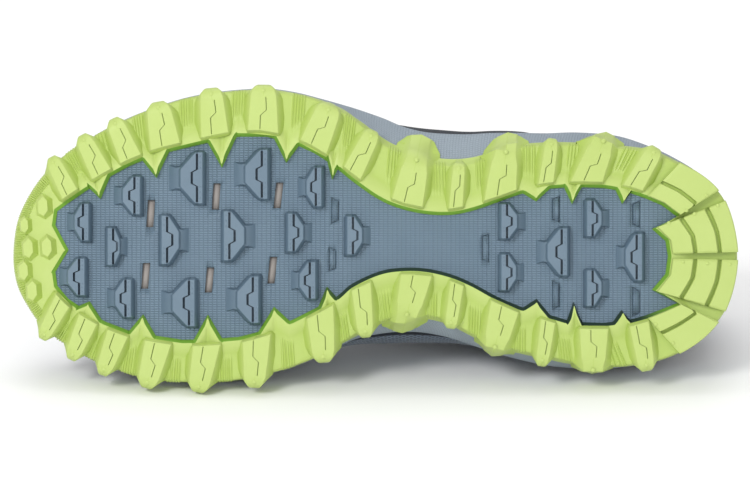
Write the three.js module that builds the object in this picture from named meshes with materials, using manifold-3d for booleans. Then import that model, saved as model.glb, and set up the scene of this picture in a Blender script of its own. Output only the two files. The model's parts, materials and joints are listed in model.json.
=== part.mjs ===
// A left trail running shoe that lies on its medial side. Millimetres, +Z up.
// The shoe is worked out in its own frame first: x from heel to toe, y to the lateral side, z up
// from the ground it would stand on. It is then turned over onto its side.
import * as THREE from "three";
import { mergeVertices } from "three/addons/utils/BufferGeometryUtils.js";
import Module from "manifold-3d";

const LENGTH = 291.2;
const BALL_WIDTH = 117;
const HEEL_WIDTH = 91;
const COLLAR_HEIGHT = 100;
const TOE_SPRING = 14;
const HEEL_BEVEL = 2;
const FLAT_FROM = 0.1; // share of the length where the heel's bevel ends
const FLAT_TO = 0.62; // share of the length where the toe spring starts
const CLEAR = 0.3; // gap between neighbouring pieces

const TREAD_DEPTH = 4;
const RIM_STEP = 5.2; // height of the rim's face under the web's margin
const RIM_TOP = 7;
const RIM_SKIN = 2; // side wall of the rim
const RIM_SIDE = 13; // height of that wall where the side is upright
const RIM_SIDE_WAIST = 8.8;
const WEB_INSET = 10; // from the rim's outer edge to the web's edge
const LUG_TOP = 0.8; // height of the centre lugs' faces from the ground
const RIM_FLANK = 3.2; // how much wider a rim lug is at its root, on each side
const LUG_CREST = 9.7; // height to which the rim lugs climb its side
const WING_FOOT = 5.5; // how much wider a lug of the waist is where it leaves the rim
const WING_WAIST = 3.2; // and where it starts up the foam
const WING_TIP = 0.85; // its tip as a share of its face
const WING_TOP = 15; // height of that tip
const WING_PROUD = 1.8;
const GROOVE_BOTTOM = 1.8; // height of the heel blocks' grooves from the ground
const FOAM_BOTTOM = RIM_TOP + CLEAR;
const FOAM_WIDEST = 20;
const LIP = 3.2;
const LIP_WIDTH = 3.6;
const FEATHER = LIP_WIDTH + 0.4; // from the foam's side to the upper's outside
const WALL = 2.4;
const FOOTBED = 4.5;
const TONGUE = 4;
const LACE_WIDTH = 5;
const LACE_THICK = 1.4;
const EYELET = 2;
const EYELET_SIDES = 6;
const FINE = 20; // samples between two rows of the outline, where a place on it is looked for
const NOTCH_END = 4.5; // row of the outline past the heel's notch

// Shares of the length in x, of the width in y. Rows run from the heel's back to the toe.
// x, lateral, medial | inner x, inner lateral, inner medial | foam lateral, foam medial
const OUTLINE = [
  [0.0021, -0.0264, -0.0264, 0.0982, -0.0264, -0.0264, -0.0264, -0.0264],
  [0.0069, 0.0967, -0.1495, 0.1016, 0.0396, -0.1055, 0.1011, -0.1538],
  [0.0179, 0.2066, -0.2593, 0.1202, 0.0923, -0.1758, 0.2154, -0.2681],
  [0.033, 0.2747, -0.3297, 0.0852, 0.1451, -0.233, 0.2857, -0.3385],
  [0.0549, 0.3319, -0.3978, 0.1071, 0.1978, -0.2615, 0.3473, -0.4088],
  [0.0838, 0.3824, -0.4549, 0.1305, 0.2286, -0.2901, 0.4044, -0.4637],
  [0.1168, 0.4286, -0.4923, 0.1538, 0.2549, -0.3099, 0.4549, -0.4989],
  [0.1648, 0.4527, -0.5121, 0.1868, 0.2725, -0.3209, 0.5055, -0.5231],
  [0.2198, 0.4637, -0.4989, 0.2294, 0.2769, -0.3165, 0.5209, -0.5253],
  [0.2637, 0.4653, -0.4719, 0.2679, 0.2676, -0.2785, 0.5167, -0.5114],
  [0.3022, 0.4451, -0.4386, 0.3008, 0.2422, -0.2465, 0.5108, -0.4775],
  [0.3393, 0.3949, -0.3991, 0.3352, 0.1982, -0.194, 0.4957, -0.4327],
  [0.3709, 0.3545, -0.3403, 0.3681, 0.1594, -0.1349, 0.4755, -0.3871],
  [0.4011, 0.3374, -0.2822, 0.3984, 0.1385, -0.095, 0.4618, -0.3473],
  [0.4327, 0.3395, -0.2518, 0.4327, 0.1373, -0.0706, 0.454, -0.3185],
  [0.4629, 0.3587, -0.2478, 0.467, 0.1529, -0.0663, 0.4604, -0.3051],
  [0.489, 0.3862, -0.2563, 0.4973, 0.1828, -0.0789, 0.4783, -0.3032],
  [0.522, 0.4468, -0.2902, 0.533, 0.241, -0.1188, 0.496, -0.3113],
  [0.5467, 0.4836, -0.3224, 0.5549, 0.2832, -0.1623, 0.5079, -0.3314],
  [0.5797, 0.5156, -0.3649, 0.5852, 0.332, -0.2019, 0.5249, -0.3683],
  [0.6113, 0.535, -0.3966, 0.6154, 0.3658, -0.2393, 0.5436, -0.4],
  [0.6484, 0.5487, -0.4239, 0.6511, 0.388, -0.2735, 0.5562, -0.4274],
  [0.6868, 0.5453, -0.4444, 0.6882, 0.388, -0.2974, 0.5532, -0.4479],
  [0.728, 0.535, -0.453, 0.728, 0.3692, -0.306, 0.5426, -0.4547],
  [0.7692, 0.5145, -0.453, 0.7665, 0.347, -0.3077, 0.5221, -0.4547],
  [0.8104, 0.4821, -0.4444, 0.8036, 0.3248, -0.294, 0.4889, -0.4462],
  [0.8516, 0.4393, -0.4171, 0.8407, 0.2872, -0.2769, 0.4479, -0.4188],
  [0.8929, 0.3863, -0.3761, 0.8736, 0.2427, -0.2462, 0.3938, -0.3778],
  [0.9299, 0.3282, -0.3231, 0.9011, 0.2017, -0.2085, 0.3316, -0.3248],
  [0.9615, 0.253, -0.2632, 0.9258, 0.1607, -0.1675, 0.2581, -0.265],
  [0.9835, 0.1726, -0.188, 0.9409, 0.1333, -0.1231, 0.1778, -0.1897],
  [0.9973, 0.0889, -0.1162, 0.9437, 0.0855, -0.0752, 0.0957, -0.1179],
  [1.0023, -0.0239, -0.0239, 0.9251, 0, 0, -0.0239, -0.0239],
];
const HALF = OUTLINE.length - 1;
const AROUND = 2 * HALF;

// Pointed teeth of the rim's inner edge: side, x, y, half width as a share of the length
const TEETH = [
  [1, 0.8805, 0.1744, 0.0151],
  [1, 0.8027, 0.2462, 0.0179],
  [1, 0.7122, 0.2803, 0.0206],
  [1, 0.6236, 0.2974, 0.0179],
  [1, 0.5604, 0.2412, 0.0069],
  [1, 0.2795, 0.212, 0.0179],
  [1, 0.2301, 0.2009, 0.0124],
  [1, 0.161, 0.2009, 0.0096],
  [-1, 0.1621, -0.2637, 0.011],
  [-1, 0.228, -0.2286, 0.011],
  [-1, 0.2788, -0.2142, 0.0192],
  [-1, 0.5677, -0.1248, 0.0124],
  [-1, 0.6404, -0.1938, 0.0206],
  [-1, 0.7316, -0.2202, 0.0206],
  [-1, 0.8212, -0.2202, 0.0192],
  [-1, 0.8956, -0.1764, 0.0165],
];

// Outer lugs: root x, root y, tip x, tip y, half width at root, at tip, 1 where it climbs the foam.
// The half widths are shares of the ball width.
const RIM_LUGS = [
  [0.9217, 0.188, 0.9492, 0.3214, 0.0333, 0.0205, 0],
  [0.8777, 0.2564, 0.9066, 0.3966, 0.0393, 0.0222, 0],
  [0.8365, 0.3043, 0.8626, 0.453, 0.041, 0.0231, 0],
  [0.7905, 0.3624, 0.8008, 0.5094, 0.0547, 0.0308, 0],
  [0.7218, 0.4, 0.7272, 0.5559, 0.0496, 0.0325, 0],
  [0.6552, 0.4055, 0.6545, 0.5668, 0.0547, 0.0359, 0],
  [0.5838, 0.3663, 0.5618, 0.5028, 0.053, 0.0359, 0],
  [0.5302, 0.281, 0.5027, 0.4282, 0.0376, 0.0239, 0],
  [0.4566, 0.1801, 0.4444, 0.3391, 0.0564, 0.0376, 1],
  [0.3901, 0.1797, 0.3853, 0.3532, 0.0256, 0.0205, 0],
  [0.3287, 0.2429, 0.3214, 0.4179, 0.0547, 0.0359, 1],
  [0.2665, 0.2948, 0.2574, 0.4921, 0.0274, 0.0205, 0],
  [0.2092, 0.3095, 0.1874, 0.4791, 0.053, 0.0342, 1],
  [0.1456, 0.2813, 0.114, 0.4527, 0.0359, 0.0256, 0],
  [0.9341, -0.1812, 0.9622, -0.3094, 0.0333, 0.0188, 0],
  [0.899, -0.2496, 0.9217, -0.3795, 0.0376, 0.0205, 0],
  [0.8571, -0.294, 0.878, -0.4318, 0.0393, 0.0205, 0],
  [0.8008, -0.3248, 0.8168, -0.4752, 0.0479, 0.0256, 0],
  [0.7335, -0.335, 0.7453, -0.4889, 0.0479, 0.0274, 0],
  [0.6641, -0.3077, 0.6676, -0.4732, 0.0496, 0.0274, 0],
  [0.5765, -0.2208, 0.5714, -0.388, 0.0496, 0.0291, 0],
  [0.5196, -0.1459, 0.5137, -0.3114, 0.0359, 0.0222, 0],
  [0.4444, -0.0935, 0.4574, -0.2398, 0.0547, 0.0359, 1],
  [0.3891, -0.1427, 0.3979, -0.3128, 0.0256, 0.0205, 0],
  [0.3235, -0.2469, 0.3365, -0.4085, 0.053, 0.0342, 1],
  [0.264, -0.3231, 0.2727, -0.5112, 0.0274, 0.0205, 0],
  [0.2005, -0.3446, 0.2015, -0.5275, 0.0513, 0.0342, 1],
  [0.137, -0.3516, 0.1271, -0.5341, 0.0359, 0.0256, 0],
];

// Centre lugs: x and y of the long side's middle, long side, reach, +1 where the stem is
// towards the toe. Long side and reach are shares of the ball width.
const CENTRE_LUGS = [
  [0.8929, 0.0957, 0.1436, 0.0855, 1],
  [0.8214, 0.187, 0.1456, 0.1009, 1],
  [0.8984, -0.0923, 0.1436, 0.0991, 1],
  [0.8338, -0.1658, 0.147, 0.0944, 1],
  [0.7349, 0.2468, 0.1928, 0.1248, 1],
  [0.6456, 0.2591, 0.186, 0.1244, 1],
  [0.5714, 0.2163, 0.1504, 0.0889, 1],
  [0.7459, -0.1812, 0.1778, 0.1248, 1],
  [0.658, -0.1697, 0.1768, 0.1197, 1],
  [0.5797, -0.1043, 0.1432, 0.0933, 1],
  [0.2335, -0.0084, 0.1785, 0.1128, 1],
  [0.1305, -0.0316, 0.1764, 0.0974, 1],
  [0.8736, 0.012, 0.1436, 0.0752, -1],
  [0.7988, 0.0349, 0.1832, 0.1009, -1],
  [0.7129, 0.0485, 0.186, 0.1162, -1],
  [0.6245, 0.0598, 0.147, 0.0909, -1],
  [0.5431, 0.0504, 0.147, 0.0885, -1],
  [0.3313, 0.1214, 0.1347, 0.093, -1],
  [0.3313, -0.0945, 0.1391, 0.0879, -1],
  [0.2136, 0.1393, 0.1388, 0.0872, -1],
  [0.2136, -0.1677, 0.1391, 0.0872, -1],
];

// Through windows of the web: x, y, length across the shoe, lean
const WINDOWS = [
  [0.811, 0.1244, 0.0932, -0.006],
  [0.818, -0.0889, 0.0889, -0.0068],
  [0.7202, 0.1835, 0.0901, -0.0056],
  [0.6344, 0.1873, 0.0884, -0.0104],
  [0.7296, -0.1026, 0.0855, -0.008],
  [0.6429, -0.0694, 0.0909, -0.0091],
];
const WINDOW_WIDTH = 2.9;

// Small bent lugs on the toe: x, y
const TOE_LUMPS = [
  [0.9588, 0.1504],
  [0.9851, 0.0855],
  [0.9794, 0.0068],
  [0.9533, 0.0103],
  [0.9739, -0.1402],
  [0.9861, -0.0718],
];

// Heel blocks: first row, last row, side, bands. Bands across a block: from, to.
const HEEL_BLOCKS = [
  [0.14, 2.1, 1, 3],
  [2.75, 4.95, 1, 2],
  [0.14, 2.1, -1, 3],
  [2.75, 4.95, -1, 2],
];
const BLOCK_BANDS = [
  [0.06, 0.36],
  [0.4, 0.7],
  [0.74, 0.98],
];
const SIDE_BANDS = [
  [0.06, 0.42],
  [0.47, 0.98],
];

// Height of the foam's top edge: x, height over the rocker
const SIDE_HEIGHT = [
  [0, 37],
  [0.12, 34],
  [0.35, 28],
  [0.6, 24.5],
  [0.85, 23],
  [1, 23.5],
];

// Top edge and wall of the upper. Row of OUTLINE, then shares of the length (x), the ball width
// (half, centre, low and high fullness) and the collar height (z); drop is a share of the wall.
// row, x, half, z, centre, low lateral, low medial, high lateral, high medial, drop
const TOP_EDGE = [
  [0, 0.0206, 0, 1, -0.017, 0.043, 0.043, 0.009, 0.009, 0.3],
  [1, 0.0258, 0.0855, 0.995, -0.017, 0.043, 0.043, 0.01, 0.01, 0.3],
  [2, 0.0412, 0.154, 0.975, -0.016, 0.043, 0.043, 0.013, 0.013, 0.3],
  [4, 0.0824, 0.222, 0.91, -0.013, 0.038, 0.038, 0.026, 0.026, 0.3],
  [6, 0.1374, 0.256, 0.845, -0.009, 0.036, 0.036, 0.034, 0.036, 0.3],
  [8, 0.206, 0.265, 0.815, 0, 0.055, 0.045, 0.068, 0.055, 0.3],
  [10, 0.2713, 0.26, 0.845, 0.016, 0.077, 0.07, 0.111, 0.08, 0.3],
  [12, 0.333, 0.239, 0.92, 0.028, 0.085, 0.1, 0.128, 0.118, 0.3],
  [14, 0.388, 0.205, 1.005, 0.034, 0.077, 0.124, 0.162, 0.158, 0.28],
  [16, 0.4464, 0.167, 0.965, 0.034, 0.06, 0.115, 0.17, 0.178, 0.24],
  [18, 0.5151, 0.137, 0.89, 0.032, 0.052, 0.085, 0.18, 0.188, 0.2],
  [20, 0.5838, 0.107, 0.805, 0.028, 0.051, 0.06, 0.205, 0.196, 0.15],
  [21, 0.6181, 0.075, 0.77, 0.026, 0.05, 0.053, 0.218, 0.205, 0.12],
  [22, 0.649, 0, 0.735, 0.024, 0.047, 0.047, 0.23, 0.214, 0.08],
  [24, 0.6971, 0, 0.695, 0.018, 0.043, 0.043, 0.239, 0.214, 0.03],
  [26, 0.7486, 0, 0.655, 0.008, 0.038, 0.038, 0.214, 0.197, 0],
  [28, 0.8036, 0, 0.615, 0, 0.034, 0.034, 0.18, 0.171, 0],
  [30, 0.8585, 0, 0.57, -0.006, 0.03, 0.03, 0.145, 0.145, 0],
  [32, 0.8997, 0, 0.525, -0.01, 0.026, 0.026, 0.12, 0.12, 0],
];
const THROAT_ROW = 22;
const UP_WALL = [0, 0.07, 0.2, 0.35, 0.39, 0.48, 0.58, 0.62, 0.79, 0.83, 0.92, 1];
// Overlays as steps of the wall: first row, last row, from, to (shares up the wall), thickness
const OVERLAYS = [
  [25.5, 32, 0.07, 0.37, 0.9],
  [0, 6.5, 0.07, 0.6, 0.8],
  [12.5, 21.5, 0.81, 1, 0.7],
  [0, 12.5, 0.81, 1, 1],
];
const EYELET_ROWS = [14.7, 16.4, 18, 19.5, 20.8];
const EYELET_UP = 0.905;
const TONGUE_ROWS = [23.6, 22.8, 22, 21.1, 20, 18.6, 17.1, 15.7, 14.3];
const TONGUE_RISE = [8, 17, 25];

const wasm = await Module();
wasm.setup();

const mix = (a, b, t) => a + (b - a) * t;
const clamp01 = (t) => Math.min(1, Math.max(0, t));
const ease = (t) => clamp01(t) ** 2 * (3 - 2 * clamp01(t));
const point = (x, y, z) => new THREE.Vector3(x, y, z);

function widthAt(u) {
  return mix(HEEL_WIDTH, BALL_WIDTH, ease((u - 0.25) / 0.35));
}

function plan(u, v) {
  return new THREE.Vector2(u * LENGTH, v * widthAt(u));
}

// Rise of the sole over the ground: nothing in the middle, toe spring and heel bevel at the ends
function lift(x) {
  const u = x / LENGTH;
  const toe = Math.max(0, (u - FLAT_TO) / (1 - FLAT_TO));
  const heel = Math.max(0, (FLAT_FROM - u) / FLAT_FROM);
  return TOE_SPRING * toe ** 2 + HEEL_BEVEL * heel ** 2;
}

// A column of a table at a key between its rows, as a smooth curve through them
function between(rows, key, column) {
  const last = rows.length - 1;
  let k = 0;
  while (k < last - 1 && rows[k + 1][0] < key) k += 1;
  const slope = (i) => {
    const a = rows[Math.max(0, i - 1)];
    const b = rows[Math.min(last, i + 1)];
    return (b[column] - a[column]) / (b[0] - a[0]);
  };
  const span = rows[k + 1][0] - rows[k][0];
  const t = clamp01((key - rows[k][0]) / span);
  const late = 3 * t ** 2 - 2 * t ** 3;
  const straight = mix(rows[k][column], rows[k + 1][column], late);
  const start = t * (t - 1) ** 2;
  const end = t ** 2 * (t - 1);
  return straight + span * (start * slope(k) + end * slope(k + 1));
}

const rowOf = (i) => (i <= HALF ? i : AROUND - i);
const sideOf = (i) => (i <= HALF ? 1 : -1);
const around = (i) => ((i % AROUND) + AROUND) % AROUND;

function controls(columnX, lateral, medial) {
  return Array.from({ length: AROUND }, (_, i) => {
    const row = OUTLINE[rowOf(i)];
    return plan(row[columnX], row[sideOf(i) > 0 ? lateral : medial]);
  });
}

const OUTER = controls(0, 1, 2);
const INNER = controls(3, 4, 5);
const FOAM = controls(0, 6, 7);

// A point of a closed loop at a place between its rows: smooth, or straight from row to row
function loopAt(loop, place, smooth = true) {
  const i = Math.floor(place);
  const t = place - i;
  const at = (k) => loop[around(i + k)];
  if (!smooth) return at(0).clone().lerp(at(1), t);
  const blend = (a, b, c, d) =>
    b + 0.5 * t * (c - a + t * (2 * a - 5 * b + 4 * c - d + t * (3 * (b - c) + d - a)));
  return new THREE.Vector2(
    blend(at(-1).x, at(0).x, at(1).x, at(2).x),
    blend(at(-1).y, at(0).y, at(1).y, at(2).y),
  );
}

// Unit vector in plan from a loop's edge to its inside
function inward(loop, place) {
  const d = loopAt(loop, place + 0.3).sub(loopAt(loop, place - 0.3));
  return new THREE.Vector2(d.y, -d.x).normalize();
}

function inset(loop, place, depth) {
  return loopAt(loop, place).addScaledVector(inward(loop, place), depth);
}

// How far the foam's side stands out past its foot at a place
function flareAt(place) {
  return loopAt(FOAM, place).distanceTo(loopAt(OUTER, place));
}

// Side of the sole in plan at a height: foot outline below, widest outline at FOAM_WIDEST
function sideAt(place, height, depth) {
  const t = ease((height - RIM_STEP) / (FOAM_WIDEST - RIM_STEP)) * 0.5;
  const share = t + 0.5 * clamp01((height - RIM_STEP) / (FOAM_WIDEST - RIM_STEP));
  const p = loopAt(OUTER, place).lerp(loopAt(FOAM, place), share);
  return p.addScaledVector(inward(FOAM, place), depth);
}

function rimSide(place) {
  return mix(RIM_SIDE, RIM_SIDE_WAIST, ease((flareAt(place) - 1) / 4));
}

const raise = (p, z) => point(p.x, p.y, z + lift(p.x));

function geometryOf(vertices, faces) {
  const flat = new Float32Array(vertices.flatMap((v) => [v.x, v.y, v.z]));
  const made = new THREE.BufferGeometry();
  made.setAttribute("position", new THREE.BufferAttribute(flat, 3));
  made.setIndex(faces.flat());
  return made;
}

// Closed geometry as a solid that faces out
function solidOf(geometry) {
  const merged = mergeVertices(geometry, 1e-4);
  const index = Uint32Array.from(merged.index.array);
  const shape = { numProp: 3, vertProperties: merged.attributes.position.array };
  const made = new wasm.Manifold(new wasm.Mesh({ ...shape, triVerts: index }));
  if (made.volume() > 0) return made;
  for (let i = 0; i < index.length; i += 3) {
    [index[i + 1], index[i + 2]] = [index[i + 2], index[i + 1]];
  }
  return new wasm.Manifold(new wasm.Mesh({ ...shape, triVerts: index }));
}

function geometryFrom(solid) {
  const mesh = solid.getMesh();
  const made = new THREE.BufferGeometry();
  const flat = new Float32Array(mesh.vertProperties);
  made.setAttribute("position", new THREE.BufferAttribute(flat, mesh.numProp));
  made.setIndex(new THREE.BufferAttribute(new Uint32Array(mesh.triVerts), 1));
  return made;
}

// Faces between two rows of the same number of vertices
function strip(a, b, closed) {
  const faces = [];
  const count = closed ? a.length : a.length - 1;
  for (let i = 0; i < count; i += 1) {
    const n = (i + 1) % a.length;
    faces.push([a[i], b[i], b[n]], [a[i], b[n], a[n]]);
  }
  return faces;
}

// A solid ring from closed profiles that follow one another round a loop
function ringSolid(profiles) {
  const size = profiles[0].length;
  const faces = profiles.flatMap((_, i) => {
    const next = (i + 1) % profiles.length;
    const a = Array.from({ length: size }, (_, j) => i * size + j);
    const b = Array.from({ length: size }, (_, j) => next * size + j);
    return strip(a, b, true);
  });
  return solidOf(geometryOf(profiles.flat(), faces));
}

// A solid from sections with the same number of corners, closed by a fan at each end
function loftSolid(sections) {
  const size = sections[0].length;
  const ids = sections.map((_, i) => Array.from({ length: size }, (_, j) => i * size + j));
  const faces = ids.slice(1).flatMap((row, i) => strip(ids[i], row, true));
  const cap = (row, section, back) => {
    const normal = point(0, 0, 0);
    section.forEach((p, j) => normal.add(p.clone().cross(section[(j + 1) % size])));
    normal.normalize();
    const first = section[1].clone().sub(section[0]).normalize();
    const second = normal.clone().cross(first);
    const flat = section.map((p) => new THREE.Vector2(p.dot(first), p.dot(second)));
    for (const [a, b, c] of THREE.ShapeUtils.triangulateShape(flat, [])) {
      const turn = flat[b].clone().sub(flat[a]).cross(flat[c].clone().sub(flat[a]));
      faces.push(turn > 0 === back ? [row[a], row[b], row[c]] : [row[a], row[c], row[b]]);
    }
  };
  cap(ids[0], sections[0], true);
  cap(ids[ids.length - 1], sections[sections.length - 1], false);
  return solidOf(geometryOf(sections.flat(), faces));
}

// A solid from closed rings of AROUND points stacked up, its ends covered from side to side
function stackSolid(rings, across, bottomSag = 0, topSag = 0) {
  const vertices = rings.flat();
  const ids = rings.map((_, k) => Array.from({ length: AROUND }, (_, i) => k * AROUND + i));
  const faces = ids.slice(1).flatMap((row, k) => strip(ids[k], row, true));
  const cover = (row, ring, sag, flip) => {
    const lines = [];
    for (let i = 0; i <= HALF; i += 1) {
      if (i === 0 || i === HALF) {
        lines.push(Array(across + 1).fill(row[i]));
        continue;
      }
      const line = [row[i]];
      for (let j = 1; j < across; j += 1) {
        const p = ring[i].clone().lerp(ring[AROUND - i], j / across);
        const end = Math.min(i, HALF - i) / 4;
        p.z -= sag * ease(2 * Math.min(j, across - j) / across) * ease(end);
        line.push(vertices.push(p) - 1);
      }
      line.push(row[AROUND - i]);
      lines.push(line);
    }
    for (let i = 0; i < HALF; i += 1) {
      for (const [a, b, c] of strip(lines[i], lines[i + 1], false)) {
        if (a !== b && b !== c && a !== c) faces.push(flip ? [a, c, b] : [a, b, c]);
      }
    }
  };
  cover(ids[0], rings[0], bottomSag, false);
  cover(ids[rings.length - 1], rings[rings.length - 1], topSag, true);
  return solidOf(geometryOf(vertices, faces));
}

const joined = (solids) => wasm.Manifold.union(solids);

function loopRing(at) {
  return Array.from({ length: AROUND }, (_, i) => at(i));
}

// The rim's section at a place, from its inner edge under the valley to the web's margin
function rimProfile(place, root) {
  const outer = loopAt(OUTER, place);
  const top = rimSide(place);
  const web = inset(OUTER, place, WEB_INSET);
  return [
    raise(root, RIM_STEP),
    raise(root, TREAD_DEPTH),
    raise(root.clone().lerp(outer, 0.94), TREAD_DEPTH),
    raise(sideAt(place, TREAD_DEPTH + 1.8, 0), TREAD_DEPTH + 1.8),
    raise(sideAt(place, top, 0), top),
    raise(sideAt(place, top, RIM_SKIN - 0.4), top),
    raise(inset(OUTER, place, RIM_SKIN + 0.1), RIM_TOP),
    raise(web, RIM_TOP),
    raise(web, RIM_STEP),
  ];
}

// Place on the loop whose inner edge is at a given x, past the heel's notch
function placeAtInner(side, x) {
  const count = FINE * (HALF - NOTCH_END - 1.5);
  const places = Array.from({ length: count }, (_, k) => NOTCH_END + k / FINE);
  const away = (row) => Math.abs(loopAt(INNER, side > 0 ? row : AROUND - row, false).x - x);
  const row = places.reduce((a, b) => (away(b) < away(a) ? b : a));
  return side > 0 ? row : AROUND - row;
}

const TOOTH_PLACES = TEETH.map(([side, u, v, half]) => {
  const ends = [u - side * half, u, u + side * half];
  const [a, tip, b] = ends.map((w) => placeAtInner(side, w * LENGTH));
  return { a, tip, b, point: plan(u, v) };
});

// Inner edge of the rim at a place, pointed where a tooth stands
function rootAt(place) {
  const tooth = TOOTH_PLACES.find(({ a, b }) => place >= a && place <= b);
  if (!tooth) return loopAt(INNER, place, false);
  const { a, tip, b, point: end } = tooth;
  const t = place < tip ? (place - a) / (tip - a) : (b - place) / (b - tip);
  return loopAt(INNER, place < tip ? a : b, false).lerp(end, clamp01(t));
}

function rimRing() {
  const places = Array.from({ length: AROUND }, (_, i) => i);
  for (const place of TOOTH_PLACES.flatMap(({ a, tip, b }) => [a, tip, b])) {
    if (!places.some((other) => Math.abs(other - place) < 0.06)) places.push(place);
  }
  places.sort((a, b) => a - b);
  return ringSolid(places.map((place) => rimProfile(place, rootAt(place))));
}

function rimLug([u, v, tipU, tipV, rootWidth, tipWidth, climbs]) {
  const root = plan(u, v);
  const tip = plan(tipU, tipV);
  const long = root.distanceTo(tip);
  const along = tip.clone().sub(root).divideScalar(long);
  const cross = new THREE.Vector2(-along.y, along.x);
  const a = rootWidth * BALL_WIDTH;
  const b = tipWidth * BALL_WIDTH;
  const corner = (s, w, z) =>
    raise(root.clone().addScaledVector(along, s).addScaledVector(cross, w), z);
  const at = (station, wide) => (typeof station === "number" ? station : station(wide));
  const section = (top, zTop, half, base, zBase, wide) => [
    corner(at(top, -half), -half, zTop),
    corner(at(top, half), half, zTop),
    corner(at(base, wide), wide, zBase),
    corner(at(base, -wide), -wide, zBase),
  ];
  const near = (place) => loopAt(FOAM, place).distanceTo(tip);
  const places = Array.from({ length: AROUND * 4 }, (_, k) => k / 4);
  const place = places.reduce((p, q) => (near(q) < near(p) ? q : p));
  // How far along the lug the sole's side lies at a height, at a distance across the lug
  const sideStation = (z, depth, wide = 0) => {
    const spots = Array.from({ length: 3 * FINE + 1 }, (_, k) => {
      const spot = sideAt(around(place - 1.5 + k / FINE), z, depth).sub(root);
      return [Math.abs(spot.dot(cross) - wide), spot.dot(along)];
    });
    return spots.reduce((p, q) => (q[0] < p[0] ? q : p))[1];
  };
  const edge = sideStation(TREAD_DEPTH, 0);
  const sections = [
    section(2, 0, a, 0, RIM_STEP - 0.6, a + RIM_FLANK),
    section(long - 5, 0, b + 0.4, Math.min(long - 5.5, edge - 4), RIM_STEP, b + RIM_FLANK),
  ];
  const inside = (wide) => sideStation(TREAD_DEPTH, 0, wide) - RIM_SKIN - 0.4;
  if (climbs) {
    const over = (z) => (wide) => sideStation(z, -CLEAR - 0.15, wide);
    const proud = (z) => (wide) => Math.max(long + 1, over(z)(wide) + WING_PROUD);
    const low = rimSide(place) + 1.3;
    const tipHalf = b * WING_TIP;
    const [start, end] = [proud(WING_TOP), over(WING_TOP)];
    sections.push(section(long + 0.5, 1.4, b, inside, RIM_TOP - 1, b + WING_FOOT));
    sections.push(section(proud(7), 6.5, b * 0.95, over(low), low, b + WING_WAIST));
    sections.push(section(start, WING_TOP, tipHalf, end, WING_TOP, tipHalf + 0.8));
  } else {
    const crest = Math.min(LUG_CREST, rimSide(place) - 1);
    const wall = (wide) => Math.max(long - 0.8, sideStation(crest, -0.5, wide));
    const within = (z, depth) => (wide) => sideStation(z, depth, wide);
    sections.push(section(long - 0.8, 1.8, b, inside, RIM_TOP - 0.6, b + RIM_FLANK));
    sections.push(section(long, 5, b * 0.75, within(7.6, 1), 7.6, b + RIM_FLANK / 2));
    sections.push(section(wall, crest - 0.1, b * 0.5, within(crest, 0.8), crest, b));
  }
  return loftSolid(sections);
}

function heelBlock([from, to, side, count]) {
  const table = count > 2 ? BLOCK_BANDS : SIDE_BANDS;
  const steps = 3;
  const profile = (k) => {
    const row = mix(from, to, k / steps);
    const place = side > 0 ? row : AROUND - row;
    const root = loopAt(INNER, place, false);
    const edge = sideAt(place, TREAD_DEPTH, -0.8);
    const at = (share, z) => raise(root.clone().lerp(edge, share), z);
    const bands = table.flatMap(([a, b], n) => [
      at(a, n ? GROOVE_BOTTOM : TREAD_DEPTH),
      at(a + 0.012, 0),
      at(b - 0.012, 0),
      at(b, n < table.length - 1 ? GROOVE_BOTTOM : 2),
    ]);
    return [
      ...bands,
      raise(sideAt(place, 9, -0.5), 9),
      raise(sideAt(place, 9, 1), 9),
      at(0.9, RIM_STEP - 0.2),
      at(0.5, RIM_STEP - 0.6),
      at(0.12, RIM_STEP - 0.6),
    ];
  };
  return loftSolid(Array.from({ length: steps + 1 }, (_, k) => profile(k)));
}

function toeLump([u, v]) {
  const centre = plan(u, v);
  const hexagon = (radius, z) =>
    Array.from({ length: 6 }, (_, k) => {
      const turn = (k * Math.PI) / 3;
      const x = centre.x + radius * 0.85 * Math.cos(turn);
      return raise(new THREE.Vector2(x, centre.y + radius * Math.sin(turn)), z);
    });
  return loftSolid([hexagon(2.1, 1.4), hexagon(3.1, RIM_STEP - 0.5)]);
}

function outsoleRim() {
  const lugs = RIM_LUGS.map(rimLug);
  const blocks = HEEL_BLOCKS.map(heelBlock);
  return joined([rimRing(), ...lugs, ...blocks, ...TOE_LUMPS.map(toeLump)]);
}

// The web's plate, its margin under the rim
function webPlate() {
  const ring = (z) => loopRing((i) => raise(inset(OUTER, i, WEB_INSET + CLEAR), z));
  return stackSolid([ring(RIM_STEP + CLEAR), ring(RIM_TOP)], 1);
}

function centreLug([u, v, long, reach, facing]) {
  const middle = plan(u, v);
  const half = (long * BALL_WIDTH) / 2;
  const far = reach * BALL_WIDTH;
  const quad = (x, y, z, xs, ys, zs) => [
    raise(new THREE.Vector2(middle.x + facing * x, middle.y - y), z),
    raise(new THREE.Vector2(middle.x + facing * x, middle.y + y), z),
    raise(new THREE.Vector2(middle.x + facing * xs, middle.y + ys), zs),
    raise(new THREE.Vector2(middle.x + facing * xs, middle.y - ys), zs),
  ];
  const root = RIM_STEP + 0.9;
  const body = loftSolid([
    quad(1.1, half - 1.2, LUG_TOP, -0.4, half, root),
    quad(far * 0.54, half * 0.48, LUG_TOP, far * 0.66, half * 0.53, root),
  ]);
  const stem = loftSolid([
    quad(far * 0.4, half * 0.4, LUG_TOP + 1.3, far * 0.4, half * 0.48, root),
    quad(far * 0.97, half * 0.4, RIM_STEP - 0.3, far, half * 0.48, root),
  ]);
  return body.add(stem);
}

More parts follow.
